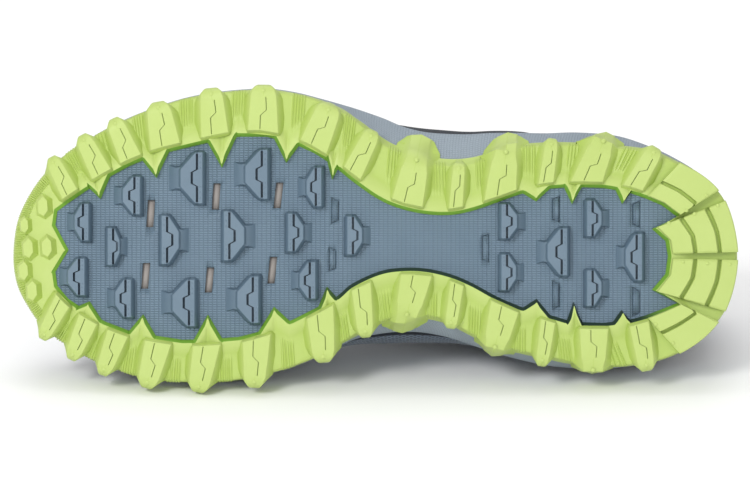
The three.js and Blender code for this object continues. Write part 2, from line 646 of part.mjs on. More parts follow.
function windowCut([u, v, tall, lean]) {
  const middle = plan(u, v);
  const half = (tall * BALL_WIDTH) / 2;
  const shift = (lean * BALL_WIDTH) / 2;
  const corners = (z) =>
    [
      [-1, 1],
      [1, 1],
      [1, -1],
      [-1, -1],
    ].map(([a, b]) => {
      const x = middle.x + (a * WINDOW_WIDTH) / 2 + b * shift;
      return raise(new THREE.Vector2(x, middle.y + b * half), z);
    });
  return loftSolid([corners(TREAD_DEPTH), corners(RIM_TOP + 1)]);
}

function outsoleCentre() {
  const cut = webPlate().subtract(joined(WINDOWS.map(windowCut)));
  return joined([cut, ...CENTRE_LUGS.map(centreLug)]);
}

// Height of the foam's top edge and of the bed inside its lip
const edgeHeight = (x) => between(SIDE_HEIGHT, x / LENGTH, 1);
const bedHeight = (x) => edgeHeight(x) - LIP;

function midsole() {
  const side = (height, depth) =>
    loopRing((i) => raise(sideAt(i, height(i), depth), height(i)));
  const top = (depth, drop) =>
    loopRing((i) => {
      const p = inset(FOAM, i, depth);
      return raise(p, edgeHeight(p.x) - drop);
    });
  return stackSolid(
    [
      loopRing((i) => raise(inset(OUTER, i, RIM_SKIN + 0.3 + CLEAR), FOAM_BOTTOM)),
      side((i) => rimSide(i), RIM_SKIN + CLEAR),
      side((i) => rimSide(i) + 1.2, 0.4),
      side(() => FOAM_WIDEST, 0),
      top(0.5, 1.4),
      top(1.6, 0),
      top(LIP_WIDTH - 0.4, 0),
      top(LIP_WIDTH, LIP),
    ],
    1,
  );
}

// A column of the upper's table at a row
const topEdge = (row, column) => between(TOP_EDGE, row, column);

function outsideOf(place) {
  return inward(FOAM, place).negate();
}

// The upper's outside at a place round the foot and a share up its wall
function upperAt(place, share) {
  const row = rowOf(place);
  const side = sideOf(place);
  const foot = inset(FOAM, place, FEATHER);
  if (share <= 0) return raise(foot, bedHeight(foot.x) + CLEAR);
  const start = raise(foot, edgeHeight(foot.x) + 0.6);
  const [x, half, z, centre] = [1, 2, 3, 4].map((c) => topEdge(row, c));
  const gape = row >= THROAT_ROW ? 0 : Math.max(0, half);
  const end = point(x * LENGTH, (centre + side * gape) * BALL_WIDTH, z * COLLAR_HEIGHT);
  const low = topEdge(row, side > 0 ? 5 : 6) * BALL_WIDTH;
  const high = topEdge(row, side > 0 ? 7 : 8) * BALL_WIDTH;
  const out = outsideOf(place);
  const tall = end.z - start.z;
  const lean = new THREE.Vector2(start.x - end.x, start.y - end.y);
  lean.addScaledVector(out, 6).normalize();
  const closed = ease((row - 16) / 8);
  const belly = start.z + tall * mix(0.35, 0.6, closed);
  const p1 = point(start.x + out.x * low, start.y + out.y * low, belly);
  const drop = topEdge(row, 9) * tall;
  const p2 = point(end.x + lean.x * high, end.y + lean.y * high, end.z - drop);
  const wall = new THREE.CubicBezierCurve3(start, p1, p2, end);
  return wall.getPoint((share - UP_WALL[1]) / (1 - UP_WALL[1]));
}

function overlayAt(row, share) {
  const hit = OVERLAYS.find(([first, last, from, to]) => {
    const along = row >= first && row <= last;
    return along && share > from && share < to + 1e-9;
  });
  return hit ? hit[4] : 0;
}

function wallNormal(place, share) {
  const a = upperAt(around(place + 0.2), share).sub(upperAt(around(place - 0.2), share));
  const low = Math.max(UP_WALL[1], share - 0.03);
  const b = upperAt(place, Math.min(1, share + 0.03)).sub(upperAt(place, low));
  return a.cross(b).normalize().negate();
}

function upperShell() {
  const high = UP_WALL.length - 1;
  const shared = (i, j) => j === high && rowOf(i) >= THROAT_ROW;
  const owner = (i, j) => (shared(i, j) && i > HALF ? AROUND - i : i);
  const id = (i, j) => owner(i, j) * (high + 1) + j;
  const outer = [];
  for (let i = 0; i < AROUND; i += 1) {
    for (let j = 0; j <= high; j += 1) outer.push(upperAt(i, UP_WALL[j]));
  }
  const faces = [];
  for (let i = 0; i < AROUND; i += 1) {
    const n = (i + 1) % AROUND;
    for (let j = 0; j < high; j += 1) {
      faces.push([id(i, j), id(n, j), id(n, j + 1)]);
      if (id(n, j + 1) !== id(i, j + 1)) faces.push([id(i, j), id(n, j + 1), id(i, j + 1)]);
    }
  }
  const skin = geometryOf(outer, faces);
  skin.computeVertexNormals();
  const normals = skin.attributes.normal;
  const facing = new THREE.Vector3();
  const sign = facing.fromBufferAttribute(normals, id(0, 3)).x > 0 ? -1 : 1;
  const inner = outer.map((p, k) => {
    const j = k % (high + 1);
    const n = new THREE.Vector3().fromBufferAttribute(normals, k).multiplyScalar(sign);
    if (j <= 1) n.setZ(0).normalize();
    return p.clone().addScaledVector(n, -WALL);
  });
  outer.forEach((p, k) => {
    const i = Math.floor(k / (high + 1));
    const j = k % (high + 1);
    const n = new THREE.Vector3().fromBufferAttribute(normals, k).multiplyScalar(sign);
    if (j > 1) p.addScaledVector(n, overlayAt(rowOf(i), UP_WALL[j]));
  });
  const shift = outer.length;
  const all = [...faces, ...faces.map(([a, b, c]) => [a + shift, c + shift, b + shift])];
  for (let i = 0; i < AROUND; i += 1) {
    const n = (i + 1) % AROUND;
    const foot = [id(i, 0), id(n, 0)];
    all.push(...strip(foot, foot.map((k) => k + shift), false));
    if (rowOf(i) > THROAT_ROW || rowOf(n) > THROAT_ROW) continue;
    const top = [id(n, high), id(i, high)];
    all.push(...strip(top, top.map((k) => k + shift), false));
  }
  const used = [...outer, ...inner];
  return solidOf(geometryOf(used, all));
}

function eyeletCut(row, side) {
  const place = side > 0 ? row : AROUND - row;
  const centre = upperAt(place, EYELET_UP);
  const n = wallNormal(place, EYELET_UP);
  const turn = new THREE.Quaternion().setFromUnitVectors(point(0, 0, 1), n);
  const ring = (z) =>
    Array.from({ length: EYELET_SIDES }, (_, k) => {
      const a = (2 * k * Math.PI) / EYELET_SIDES;
      const p = point(EYELET * Math.cos(a), EYELET * Math.sin(a), z);
      return p.applyQuaternion(turn).add(centre);
    });
  return loftSolid([ring(-WALL - 1.5), ring(2.5)]);
}

function upper() {
  const holes = EYELET_ROWS.flatMap((row) => [eyeletCut(row, 1), eyeletCut(row, -1)]);
  return upperShell().subtract(joined(holes));
}

// The footbed, dished in the middle
function insole() {
  const ring = (depth, rise) =>
    loopRing((i) => {
      const p = inset(FOAM, i, FEATHER + WALL + depth);
      return raise(p, bedHeight(p.x) + rise);
    });
  const rings = [ring(CLEAR + 0.3, CLEAR), ring(CLEAR + 0.3, FOOTBED - 1), ring(1.4, FOOTBED)];
  return stackSolid(rings, 3, 0, 1.2);
}

// Points across the tongue at a row: under both edges of the throat and a low crown between
function tongueRow(row) {
  const closed = row >= THROAT_ROW;
  const shares = closed ? [0.72, 0.8, 0.88, 0.95] : [0.8, 0.87, 0.94, 1];
  const depth = WALL + CLEAR + (closed ? 0.9 : 0.15);
  const under = (place, share) =>
    upperAt(place, share).addScaledVector(wallNormal(place, share), -depth);
  const left = shares.map((share) => under(row, share));
  const right = shares.map((share) => under(AROUND - row, share));
  const a = left[left.length - 1];
  const b = right[right.length - 1];
  const crown = closed ? 0 : 0.13 * a.distanceTo(b);
  const middle = [0.25, 0.5, 0.75].map((t) => {
    const p = a.clone().lerp(b, t);
    p.z += crown * 4 * t * (1 - t);
    return p;
  });
  return [...left, ...middle, ...right.reverse()];
}

function tongueRows() {
  const rows = TONGUE_ROWS.map(tongueRow);
  const last = rows[rows.length - 1];
  for (const rise of TONGUE_RISE) {
    const share = rise / TONGUE_RISE[TONGUE_RISE.length - 1];
    const middle = last[5];
    rows.push(
      last.map((p) => {
        const q = p.clone();
        q.y = middle.y + (p.y - middle.y) * (0.73 - 0.04 * share);
        return q.add(point(-0.42 * rise, 0, 0.9 * rise));
      }),
    );
  }
  return rows;
}

function tongueSolid(rows) {
  const wide = rows[0].length;
  const ids = rows.map((_, r) => Array.from({ length: wide }, (_, c) => r * wide + c));
  const faces = ids.slice(1).flatMap((row, r) => strip(ids[r], row, false));
  const skin = geometryOf(rows.flat(), faces);
  skin.computeVertexNormals();
  const middle = Math.floor(wide / 2);
  const sign = skin.attributes.normal.getZ(4 * wide + middle) > 0 ? 1 : -1;
  const under = rows.flat().map((p, k) => {
    const c = k % wide;
    const n = new THREE.Vector3().fromBufferAttribute(skin.attributes.normal, k);
    const thick = mix(1.6, TONGUE, ease(Math.min(c, wide - 1 - c) / 3));
    return p.clone().addScaledVector(n, -sign * thick);
  });
  const shift = rows.length * wide;
  const last = rows.length - 1;
  const left = ids.map((row) => row[0]);
  const right = ids.map((row) => row[wide - 1]);
  const edges = [ids[0], right, [...ids[last]].reverse(), [...left].reverse()];
  const closing = edges.flatMap((e) => strip(e.map((k) => k + shift), e, false));
  const back = faces.map(([a, b, c]) => [a + shift, c + shift, b + shift]);
  return solidOf(geometryOf([...rows.flat(), ...under], [...faces, ...closing, ...back]));
}

// One crossing of the lace: from eyelet to eyelet, over both edges of the throat
function lacePath(fromRow, fromSide, toRow) {
  const proud = OVERLAYS[2][4] + CLEAR + 0.3 + LACE_THICK / 2;
  const rest = (row, side, share) => {
    const place = side > 0 ? row : AROUND - row;
    const n = wallNormal(place, Math.min(share, 0.96));
    return upperAt(place, share).addScaledVector(n, proud);
  };
  const [a, b] = [rest(fromRow, fromSide, EYELET_UP), rest(toRow, -fromSide, EYELET_UP)];
  const [c, d] = [rest(fromRow, fromSide, 1), rest(toRow, -fromSide, 1)];
  const rise = 0.14 * c.distanceTo(d) + 1.5;
  const bridge = [0.3, 0.7].map((t) => {
    const p = c.clone().lerp(d, t);
    p.z += rise;
    return p;
  });
  return [a, c, ...bridge, d, b];
}

function band(path) {
  const sections = path.map((p, k) => {
    const next = path[Math.min(path.length - 1, k + 1)];
    const before = path[Math.max(0, k - 1)];
    const along = next.clone().sub(before).normalize();
    const flat = point(1, 0, -0.45).normalize();
    const wide = flat.addScaledVector(along, -flat.dot(along)).normalize();
    const up = wide.clone().cross(along).normalize();
    const corner = (a, b) => {
      const q = p.clone().addScaledVector(wide, (a * LACE_WIDTH) / 2);
      return q.addScaledVector(up, (b * LACE_THICK) / 2);
    };
    return [corner(-1, -1), corner(1, -1), corner(1, 1), corner(-1, 1)];
  });
  return loftSolid(sections);
}

function laces() {
  const rows = [...EYELET_ROWS].reverse();
  const paths = [lacePath(rows[0], 1, rows[0])];
  for (let k = 0; k < rows.length - 1; k += 1) {
    paths.push(lacePath(rows[k], 1, rows[k + 1]), lacePath(rows[k], -1, rows[k + 1]));
  }
  return joined(paths.map(band));
}

// The pieces, with densities in grams per cubic centimetre for the way the shoe rests
const PIECES = [
  ["outsole_rim", outsoleRim(), 0xcde07a, 1.2],
  ["outsole_centre", outsoleCentre(), 0x6d8293, 1.2],
  ["midsole", midsole(), 0xa3afb9, 0.3],
  ["upper", upper(), 0x5f6e7d, 0.3],
  ["insole", insole(), 0x3a434e, 0.3],
  ["tongue", tongueSolid(tongueRows()), 0x505d6b, 0.3],
  ["laces", laces(), 0x2f3842, 0.3],
].map(([name, solid, colour, density]) => {
  const geometry = geometryFrom(solid);
  return { name, geometry, colour, density };
});

// Volume and centroid of a closed geometry
function massOf({ geometry, density }) {
  const position = geometry.attributes.position;
  const index = geometry.index.array;
  const centre = point(0, 0, 0);
  let volume = 0;
  for (let k = 0; k < index.length; k += 3) {
    const corner = (n) => new THREE.Vector3().fromBufferAttribute(position, index[k + n]);
    const [a, b, c] = [0, 1, 2].map(corner);
    const part = a.dot(b.clone().cross(c)) / 6;
    volume += part;
    centre.addScaledVector(a.add(b).add(c), part / 4);
  }
  return { weight: volume * density, moment: centre.multiplyScalar(density) };
}

// The direction that points up once the shoe has rolled from one side to rest on three points
function restingUp(points, balance, start) {
  let up = start.clone();
  const height = (p) => p.dot(up);
  let contacts = [points.reduce((a, b) => (height(b) < height(a) ? b : a))];
  for (let turn = 0; turn < 40; turn += 1) {
    const [p, q] = contacts;
    const toward = balance.clone().sub(p);
    toward.addScaledVector(up, -toward.dot(up));
    if (q) {
      const edge = q.clone().sub(p).normalize();
      toward.addScaledVector(edge, -toward.dot(edge));
    }
    toward.normalize();
    let least = Infinity;
    let touched = null;
    for (const point of points) {
      const r = point.clone().sub(p);
      const g = r.dot(toward);
      const h = Math.max(0, r.dot(up));
      if (g > 1e-3 && h / g < least) [least, touched] = [h / g, point];
    }
    up.addScaledVector(toward, -least).normalize();
    contacts.push(touched);
    if (contacts.length < 3) continue;
    const outside = [0, 1, 2].find((k) => {
      const a = contacts[k];
      const b = contacts[(k + 1) % 3];
      const c = contacts[(k + 2) % 3];
      const wall = b.clone().sub(a).cross(up);
      return wall.dot(balance.clone().sub(a)) * wall.dot(c.clone().sub(a)) < 0;
    });
    if (outside === undefined) return up;
    contacts = [contacts[outside], contacts[(outside + 1) % 3]];
  }
  return up;
}

function restingMatrix() {
  const masses = PIECES.map(massOf);
  const total = masses.reduce((sum, m) => sum + m.weight, 0);
  const moment = masses.reduce((sum, m) => sum.add(m.moment), point(0, 0, 0));
  const balance = moment.divideScalar(total);
  const points = PIECES.flatMap(({ geometry }) => {
    const position = geometry.attributes.position;
    const vertex = (_, k) => new THREE.Vector3().fromBufferAttribute(position, k);
    return Array.from({ length: position.count }, vertex);
  });
  const up = restingUp(points, balance, point(0, 1, 0));
  const back = point(-1, 0, 0).addScaledVector(up, up.x).normalize();
  const across = up.clone().cross(back);
  const turn = new THREE.Matrix4().makeBasis(back, across, up).transpose();
  const box = new THREE.Box3().setFromPoints(points.map((p) => p.applyMatrix4(turn)));
  const middle = box.getCenter(new THREE.Vector3());
  return new THREE.Matrix4().makeTranslation(-middle.x, -middle.y, -box.min.z).multiply(turn);
}

const shoe = new THREE.Group();
shoe.name = "trail_running_shoe";
const rest = restingMatrix();
for (const { name, geometry, colour } of PIECES) {
  const material = new THREE.MeshStandardMaterial({ color: colour, roughness: 0.7 });
  const mesh = new THREE.Mesh(geometry.applyMatrix4(rest), material);
  mesh.name = name;
  shoe.add(mesh);
}
shoe.userData.rest = rest.toArray();

export default shoe;
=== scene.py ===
"""Looks of a left trail running shoe that lies on its medial side.

Shapes are worked out in millimetres in the shoe's own frame (x from heel to toe, y to the
lateral side, z up from the ground it would stand on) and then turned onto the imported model.
"""
import json
import logging
import math
from dataclasses import dataclass, field
from enum import Enum
from typing import Callable, Sequence

import bmesh
import bpy
import numpy as np
from mathutils import Matrix, Vector


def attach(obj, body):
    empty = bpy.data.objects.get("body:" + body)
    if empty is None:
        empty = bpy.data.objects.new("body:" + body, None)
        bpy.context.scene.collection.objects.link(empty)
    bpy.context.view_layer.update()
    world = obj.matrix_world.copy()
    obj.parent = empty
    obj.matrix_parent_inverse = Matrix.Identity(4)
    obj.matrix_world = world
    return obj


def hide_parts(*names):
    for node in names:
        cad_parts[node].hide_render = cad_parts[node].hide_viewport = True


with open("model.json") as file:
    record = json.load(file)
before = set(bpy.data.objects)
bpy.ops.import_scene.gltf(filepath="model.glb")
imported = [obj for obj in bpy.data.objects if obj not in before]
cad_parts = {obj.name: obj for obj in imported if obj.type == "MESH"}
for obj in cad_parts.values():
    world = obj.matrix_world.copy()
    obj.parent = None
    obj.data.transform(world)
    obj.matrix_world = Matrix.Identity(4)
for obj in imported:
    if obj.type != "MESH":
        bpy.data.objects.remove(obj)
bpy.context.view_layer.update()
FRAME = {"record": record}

LOG = logging.getLogger("shoe")
Array = np.ndarray
Table = Sequence[Sequence[float]]
Colour = tuple[float, float, float]

# Shares of the length in x, of the width in y. Rows run from the heel's back to the toe.
# x, lateral, medial | inner x, inner lateral, inner medial | foam lateral, foam medial
OUTLINE: Table = (
    (0.0021, -0.0264, -0.0264, 0.0982, -0.0264, -0.0264, -0.0264, -0.0264),
    (0.0069, 0.0967, -0.1495, 0.1016, 0.0396, -0.1055, 0.1011, -0.1538),
    (0.0179, 0.2066, -0.2593, 0.1202, 0.0923, -0.1758, 0.2154, -0.2681),
    (0.033, 0.2747, -0.3297, 0.0852, 0.1451, -0.233, 0.2857, -0.3385),
    (0.0549, 0.3319, -0.3978, 0.1071, 0.1978, -0.2615, 0.3473, -0.4088),
    (0.0838, 0.3824, -0.4549, 0.1305, 0.2286, -0.2901, 0.4044, -0.4637),
    (0.1168, 0.4286, -0.4923, 0.1538, 0.2549, -0.3099, 0.4549, -0.4989),
    (0.1648, 0.4527, -0.5121, 0.1868, 0.2725, -0.3209, 0.5055, -0.5231),
    (0.2198, 0.4637, -0.4989, 0.2294, 0.2769, -0.3165, 0.5209, -0.5253),
    (0.2637, 0.4653, -0.4719, 0.2679, 0.2676, -0.2785, 0.5167, -0.5114),
    (0.3022, 0.4451, -0.4386, 0.3008, 0.2422, -0.2465, 0.5108, -0.4775),
    (0.3393, 0.3949, -0.3991, 0.3352, 0.1982, -0.194, 0.4957, -0.4327),
    (0.3709, 0.3545, -0.3403, 0.3681, 0.1594, -0.1349, 0.4755, -0.3871),
    (0.4011, 0.3374, -0.2822, 0.3984, 0.1385, -0.095, 0.4618, -0.3473),
    (0.4327, 0.3395, -0.2518, 0.4327, 0.1373, -0.0706, 0.454, -0.3185),
    (0.4629, 0.3587, -0.2478, 0.467, 0.1529, -0.0663, 0.4604, -0.3051),
    (0.489, 0.3862, -0.2563, 0.4973, 0.1828, -0.0789, 0.4783, -0.3032),
    (0.522, 0.4468, -0.2902, 0.533, 0.241, -0.1188, 0.496, -0.3113),
    (0.5467, 0.4836, -0.3224, 0.5549, 0.2832, -0.1623, 0.5079, -0.3314),
    (0.5797, 0.5156, -0.3649, 0.5852, 0.332, -0.2019, 0.5249, -0.3683),
    (0.6113, 0.535, -0.3966, 0.6154, 0.3658, -0.2393, 0.5436, -0.4),
    (0.6484, 0.5487, -0.4239, 0.6511, 0.388, -0.2735, 0.5562, -0.4274),
    (0.6868, 0.5453, -0.4444, 0.6882, 0.388, -0.2974, 0.5532, -0.4479),
    (0.728, 0.535, -0.453, 0.728, 0.3692, -0.306, 0.5426, -0.4547),
    (0.7692, 0.5145, -0.453, 0.7665, 0.347, -0.3077, 0.5221, -0.4547),
    (0.8104, 0.4821, -0.4444, 0.8036, 0.3248, -0.294, 0.4889, -0.4462),
    (0.8516, 0.4393, -0.4171, 0.8407, 0.2872, -0.2769, 0.4479, -0.4188),
    (0.8929, 0.3863, -0.3761, 0.8736, 0.2427, -0.2462, 0.3938, -0.3778),
    (0.9299, 0.3282, -0.3231, 0.9011, 0.2017, -0.2085, 0.3316, -0.3248),
    (0.9615, 0.253, -0.2632, 0.9258, 0.1607, -0.1675, 0.2581, -0.265),
    (0.9835, 0.1726, -0.188, 0.9409, 0.1333, -0.1231, 0.1778, -0.1897),
    (0.9973, 0.0889, -0.1162, 0.9437, 0.0855, -0.0752, 0.0957, -0.1179),
    (1.0023, -0.0239, -0.0239, 0.9251, 0, 0, -0.0239, -0.0239),
)

# Pointed teeth of the rim's inner edge: side, x, y, half width as a share of the length
TEETH: Table = (
    (1, 0.8805, 0.1744, 0.0151),
    (1, 0.8027, 0.2462, 0.0179),
    (1, 0.7122, 0.2803, 0.0206),
    (1, 0.6236, 0.2974, 0.0179),
    (1, 0.5604, 0.2412, 0.0069),
    (1, 0.2795, 0.212, 0.0179),
    (1, 0.2301, 0.2009, 0.0124),
    (1, 0.161, 0.2009, 0.0096),
    (-1, 0.1621, -0.2637, 0.011),
    (-1, 0.228, -0.2286, 0.011),
    (-1, 0.2788, -0.2142, 0.0192),
    (-1, 0.5677, -0.1248, 0.0124),
    (-1, 0.6404, -0.1938, 0.0206),
    (-1, 0.7316, -0.2202, 0.0206),
    (-1, 0.8212, -0.2202, 0.0192),
    (-1, 0.8956, -0.1764, 0.0165),
)

# Outer lugs: root x, root y, tip x, tip y, half width at root, at tip, climb past the tip
RIM_LUGS: Table = (
    (0.9217, 0.188, 0.9492, 0.3214, 0.0333, 0.0205, 0),
    (0.8777, 0.2564, 0.9066, 0.3966, 0.0393, 0.0222, 0),
    (0.8365, 0.3043, 0.8626, 0.453, 0.041, 0.0231, 0),
    (0.7905, 0.3624, 0.8008, 0.5094, 0.0547, 0.0308, 0),
    (0.7218, 0.4, 0.7272, 0.5559, 0.0496, 0.0325, 0),
    (0.6552, 0.4055, 0.6545, 0.5668, 0.0547, 0.0359, 0),
    (0.5838, 0.3663, 0.5618, 0.5028, 0.053, 0.0359, 0),
    (0.5302, 0.281, 0.5027, 0.4282, 0.0376, 0.0239, 0),
    (0.4566, 0.1801, 0.4444, 0.3391, 0.0564, 0.0376, 1),
    (0.3901, 0.1797, 0.3853, 0.3532, 0.0256, 0.0205, 0),
    (0.3287, 0.2429, 0.3214, 0.4179, 0.0547, 0.0359, 1),
    (0.2665, 0.2948, 0.2574, 0.4921, 0.0274, 0.0205, 0),
    (0.2092, 0.3095, 0.1874, 0.4791, 0.053, 0.0342, 1),
    (0.1456, 0.2813, 0.114, 0.4527, 0.0359, 0.0256, 0),
    (0.9341, -0.1812, 0.9622, -0.3094, 0.0333, 0.0188, 0),
    (0.899, -0.2496, 0.9217, -0.3795, 0.0376, 0.0205, 0),
    (0.8571, -0.294, 0.878, -0.4318, 0.0393, 0.0205, 0),
    (0.8008, -0.3248, 0.8168, -0.4752, 0.0479, 0.0256, 0),
    (0.7335, -0.335, 0.7453, -0.4889, 0.0479, 0.0274, 0),
    (0.6641, -0.3077, 0.6676, -0.4732, 0.0496, 0.0274, 0),
    (0.5765, -0.2208, 0.5714, -0.388, 0.0496, 0.0291, 0),
    (0.5196, -0.1459, 0.5137, -0.3114, 0.0359, 0.0222, 0),
    (0.4444, -0.0935, 0.4574, -0.2398, 0.0547, 0.0359, 1),
    (0.3891, -0.1427, 0.3979, -0.3128, 0.0256, 0.0205, 0),
    (0.3235, -0.2469, 0.3365, -0.4085, 0.053, 0.0342, 1),
    (0.264, -0.3231, 0.2727, -0.5112, 0.0274, 0.0205, 0),
    (0.2005, -0.3446, 0.2015, -0.5275, 0.0513, 0.0342, 1),
    (0.137, -0.3516, 0.1271, -0.5341, 0.0359, 0.0256, 0),
)

# Centre lugs: x and y of the long side's middle, long side, reach, 1 with the stem to the toe
CENTRE_LUGS: Table = (
    (0.8929, 0.0957, 0.1436, 0.0855, 1),
    (0.8214, 0.187, 0.1456, 0.1009, 1),
    (0.8984, -0.0923, 0.1436, 0.0991, 1),
    (0.8338, -0.1658, 0.147, 0.0944, 1),
    (0.7349, 0.2468, 0.1928, 0.1248, 1),
    (0.6456, 0.2591, 0.186, 0.1244, 1),
    (0.5714, 0.2163, 0.1504, 0.0889, 1),
    (0.7459, -0.1812, 0.1778, 0.1248, 1),
    (0.658, -0.1697, 0.1768, 0.1197, 1),
    (0.5797, -0.1043, 0.1432, 0.0933, 1),
    (0.2335, -0.0084, 0.1785, 0.1128, 1),
    (0.1305, -0.0316, 0.1764, 0.0974, 1),
    (0.8736, 0.012, 0.1436, 0.0752, -1),
    (0.7988, 0.0349, 0.1832, 0.1009, -1),
    (0.7129, 0.0485, 0.186, 0.1162, -1),
    (0.6245, 0.0598, 0.147, 0.0909, -1),
    (0.5431, 0.0504, 0.147, 0.0885, -1),
    (0.3313, 0.1214, 0.1347, 0.093, -1),
    (0.3313, -0.0945, 0.1391, 0.0879, -1),
    (0.2136, 0.1393, 0.1388, 0.0872, -1),
    (0.2136, -0.1677, 0.1391, 0.0872, -1),
)

# Through windows of the web: x, y, length across the shoe, lean
WINDOWS: Table = (
    (0.811, 0.1244, 0.0932, -0.006),
    (0.818, -0.0889, 0.0889, -0.0068),
    (0.7202, 0.1835, 0.0901, -0.0056),
    (0.6344, 0.1873, 0.0884, -0.0104),
    (0.7296, -0.1026, 0.0855, -0.008),
    (0.6429, -0.0694, 0.0909, -0.0091),
)

# Small bent lugs on the toe: x, y
TOE_LUMPS: Table = (
    (0.9588, 0.1504),
    (0.9851, 0.0855),
    (0.9794, 0.0068),
    (0.9533, 0.0103),
    (0.9739, -0.1402),
    (0.9861, -0.0718),
)

# Heel blocks: first row, last row, side, bands
HEEL_BLOCKS: Table = (
    (0.14, 2.1, 1, 3),
    (2.75, 4.95, 1, 2),
    (0.14, 2.1, -1, 3),
    (2.75, 4.95, -1, 2),
)

# Bands across a heel block: from, to
BLOCK_BANDS: Table = (
    (0.06, 0.36),
    (0.4, 0.7),
    (0.74, 0.98),
)

# Bands across a block on the heel's side: from, to
SIDE_BANDS: Table = (
    (0.06, 0.42),
    (0.47, 0.98),
)

# Height of the foam's top edge: x, height over the curved sole
SIDE_HEIGHT: Table = (
    (0, 37),
    (0.12, 34),
    (0.35, 28),
    (0.6, 24.5),
    (0.85, 23),
    (1, 23.5),
)

# Top edge of the upper: row, x, half, z, centre, low lateral, low medial, high lateral,
# high medial, drop
TOP_EDGE: Table = (
    (0, 0.0206, 0, 1, -0.017, 0.043, 0.043, 0.009, 0.009, 0.3),
    (1, 0.0258, 0.0855, 0.995, -0.017, 0.043, 0.043, 0.01, 0.01, 0.3),
    (2, 0.0412, 0.154, 0.975, -0.016, 0.043, 0.043, 0.013, 0.013, 0.3),
    (4, 0.0824, 0.222, 0.91, -0.013, 0.038, 0.038, 0.026, 0.026, 0.3),
    (6, 0.1374, 0.256, 0.845, -0.009, 0.036, 0.036, 0.034, 0.036, 0.3),
    (8, 0.206, 0.265, 0.815, 0, 0.055, 0.045, 0.068, 0.055, 0.3),
    (10, 0.2713, 0.26, 0.845, 0.016, 0.092, 0.07, 0.111, 0.08, 0.3),
    (12, 0.333, 0.239, 0.92, 0.028, 0.1, 0.1, 0.128, 0.118, 0.3),
    (14, 0.388, 0.205, 1.005, 0.034, 0.11, 0.16, 0.162, 0.158, 0.28),
    (16, 0.4464, 0.167, 0.965, 0.034, 0.085, 0.165, 0.17, 0.178, 0.24),
    (18, 0.5151, 0.137, 0.89, 0.032, 0.052, 0.12, 0.18, 0.188, 0.2),
    (20, 0.5838, 0.107, 0.805, 0.028, 0.051, 0.06, 0.205, 0.196, 0.15),
    (21, 0.6181, 0.075, 0.77, 0.026, 0.05, 0.053, 0.218, 0.205, 0.12),
    (22, 0.649, 0, 0.735, 0.024, 0.047, 0.047, 0.23, 0.214, 0.08),
    (24, 0.6971, 0, 0.695, 0.018, 0.043, 0.043, 0.239, 0.214, 0.03),
    (26, 0.7486, 0, 0.655, 0.008, 0.038, 0.038, 0.214, 0.197, 0),
    (28, 0.8036, 0, 0.615, 0, 0.034, 0.034, 0.18, 0.171, 0),
    (30, 0.8585, 0, 0.57, -0.006, 0.03, 0.03, 0.145, 0.145, 0),
    (32, 0.8997, 0, 0.525, -0.01, 0.026, 0.026, 0.12, 0.12, 0),
)

# Shallow recesses of the web: x as a share of the length, then low and high y, as shares of
# the ball width, width and slant in mm
RECESSES: Table = (
    (0.5563, 0.0889, 0.1812, 3.1, 1.5),
    (0.5597, -0.0735, 0.0103, 3.1, 1.2),
    (0.3489, -0.0434, 0.0564, 3.0, -1.0),
    (0.2519, 0.0937, 0.1863, 3.2, -1.2),
    (0.1415, 0.0752, 0.171, 3.2, -1.5),
    (0.2519, -0.2051, -0.1046, 3.2, 1.3),
    (0.1415, -0.2291, -0.1265, 3.2, 1.5),
)

# Row of the outline where the throat's opening ends towards the toe
THROAT_ROW = 22
# Rows of the eyelets and their share up the wall
EYELET_ROWS = (14.7, 16.4, 18.0, 19.5, 20.8)
EYELET_UP = 0.905
# Rows that the tongue is drawn through, from the toe back
TONGUE_ROWS = (23.6, 22.8, 22.0, 21.1, 20.0, 18.6, 17.1, 15.7, 14.3)

# Folds of the upper: row of the outline, lean towards the sole, depth in mm, width in rows
CREASES: Table = (
    (22.6, 1.0, 1.1, 0.55),
    (24.4, 1.4, 1.4, 0.6),
    (9.6, -0.8, 0.8, 0.9),
    (12.2, 0.6, 0.6, 0.7),
)

# Corners of a toe lump in plan at its foot and at its top, in mm from its middle
LUMP_FOOT: Table = ((-3.6, -2.8), (-0.4, -5.4), (3.2, -3.6), (3.7, 2.6), (0.8, 5.4), (-3.2, 3.0))
LUMP_TOP: Table = ((-1.5, -1.7), (0.1, -4.0), (2.3, -2.8), (2.6, 1.8), (0.4, 4.0), (-1.2, 2.2))
# Painted shade on a toe lump's six sides at its foot, darkest on the heel side
LUMP_SHADE = (1.0, 0.8, 0.1, 0.0, 0.1, 1.0)

# Share of the upper's wall that the foam's lip hides, and the share above it
FEATHER_SHARE, WALL_SHARE = 0.07, 0.93
# Share up the wall from which a point counts as its top edge
TOP_SHARE = 0.999
DOWN = np.array([0.0, 0.0, -1.0])


class Side(Enum):
    """Side of the foot."""

    LATERAL = 1
    MEDIAL = -1


def ease(t: Array) -> Array:
    """Smooth step from 0 to 1: three t squared less two t cubed."""
    t = np.clip(t, 0.0, 1.0)
    return t * t * (3.0 - 2.0 * t)


def mix(a: Array, b: Array, t: Array) -> Array:
    """Straight blend of a and b by t."""
    return a + (b - a) * t


def pulse(t: Array, low: float, high: float, soft: float) -> Array:
    """1 between low and high, falling to 0 over a soft margin on both sides."""
    return ease((t - low + soft) / soft) * ease((high + soft - t) / soft)


def unit(v: Array) -> Array:
    """Vectors scaled to length one."""
    return v / np.maximum(np.linalg.norm(v, axis=-1, keepdims=True), 1e-9)


def spline(a: Array, b: Array, c: Array, d: Array, t: Array) -> Array:
    """Catmull-Rom curve from b to c by t, with a before them and d after them."""
    return b + 0.5 * t * (c - a + t * (2 * a - 5 * b + 4 * c - d + t * (3 * (b - c) + d - a)))


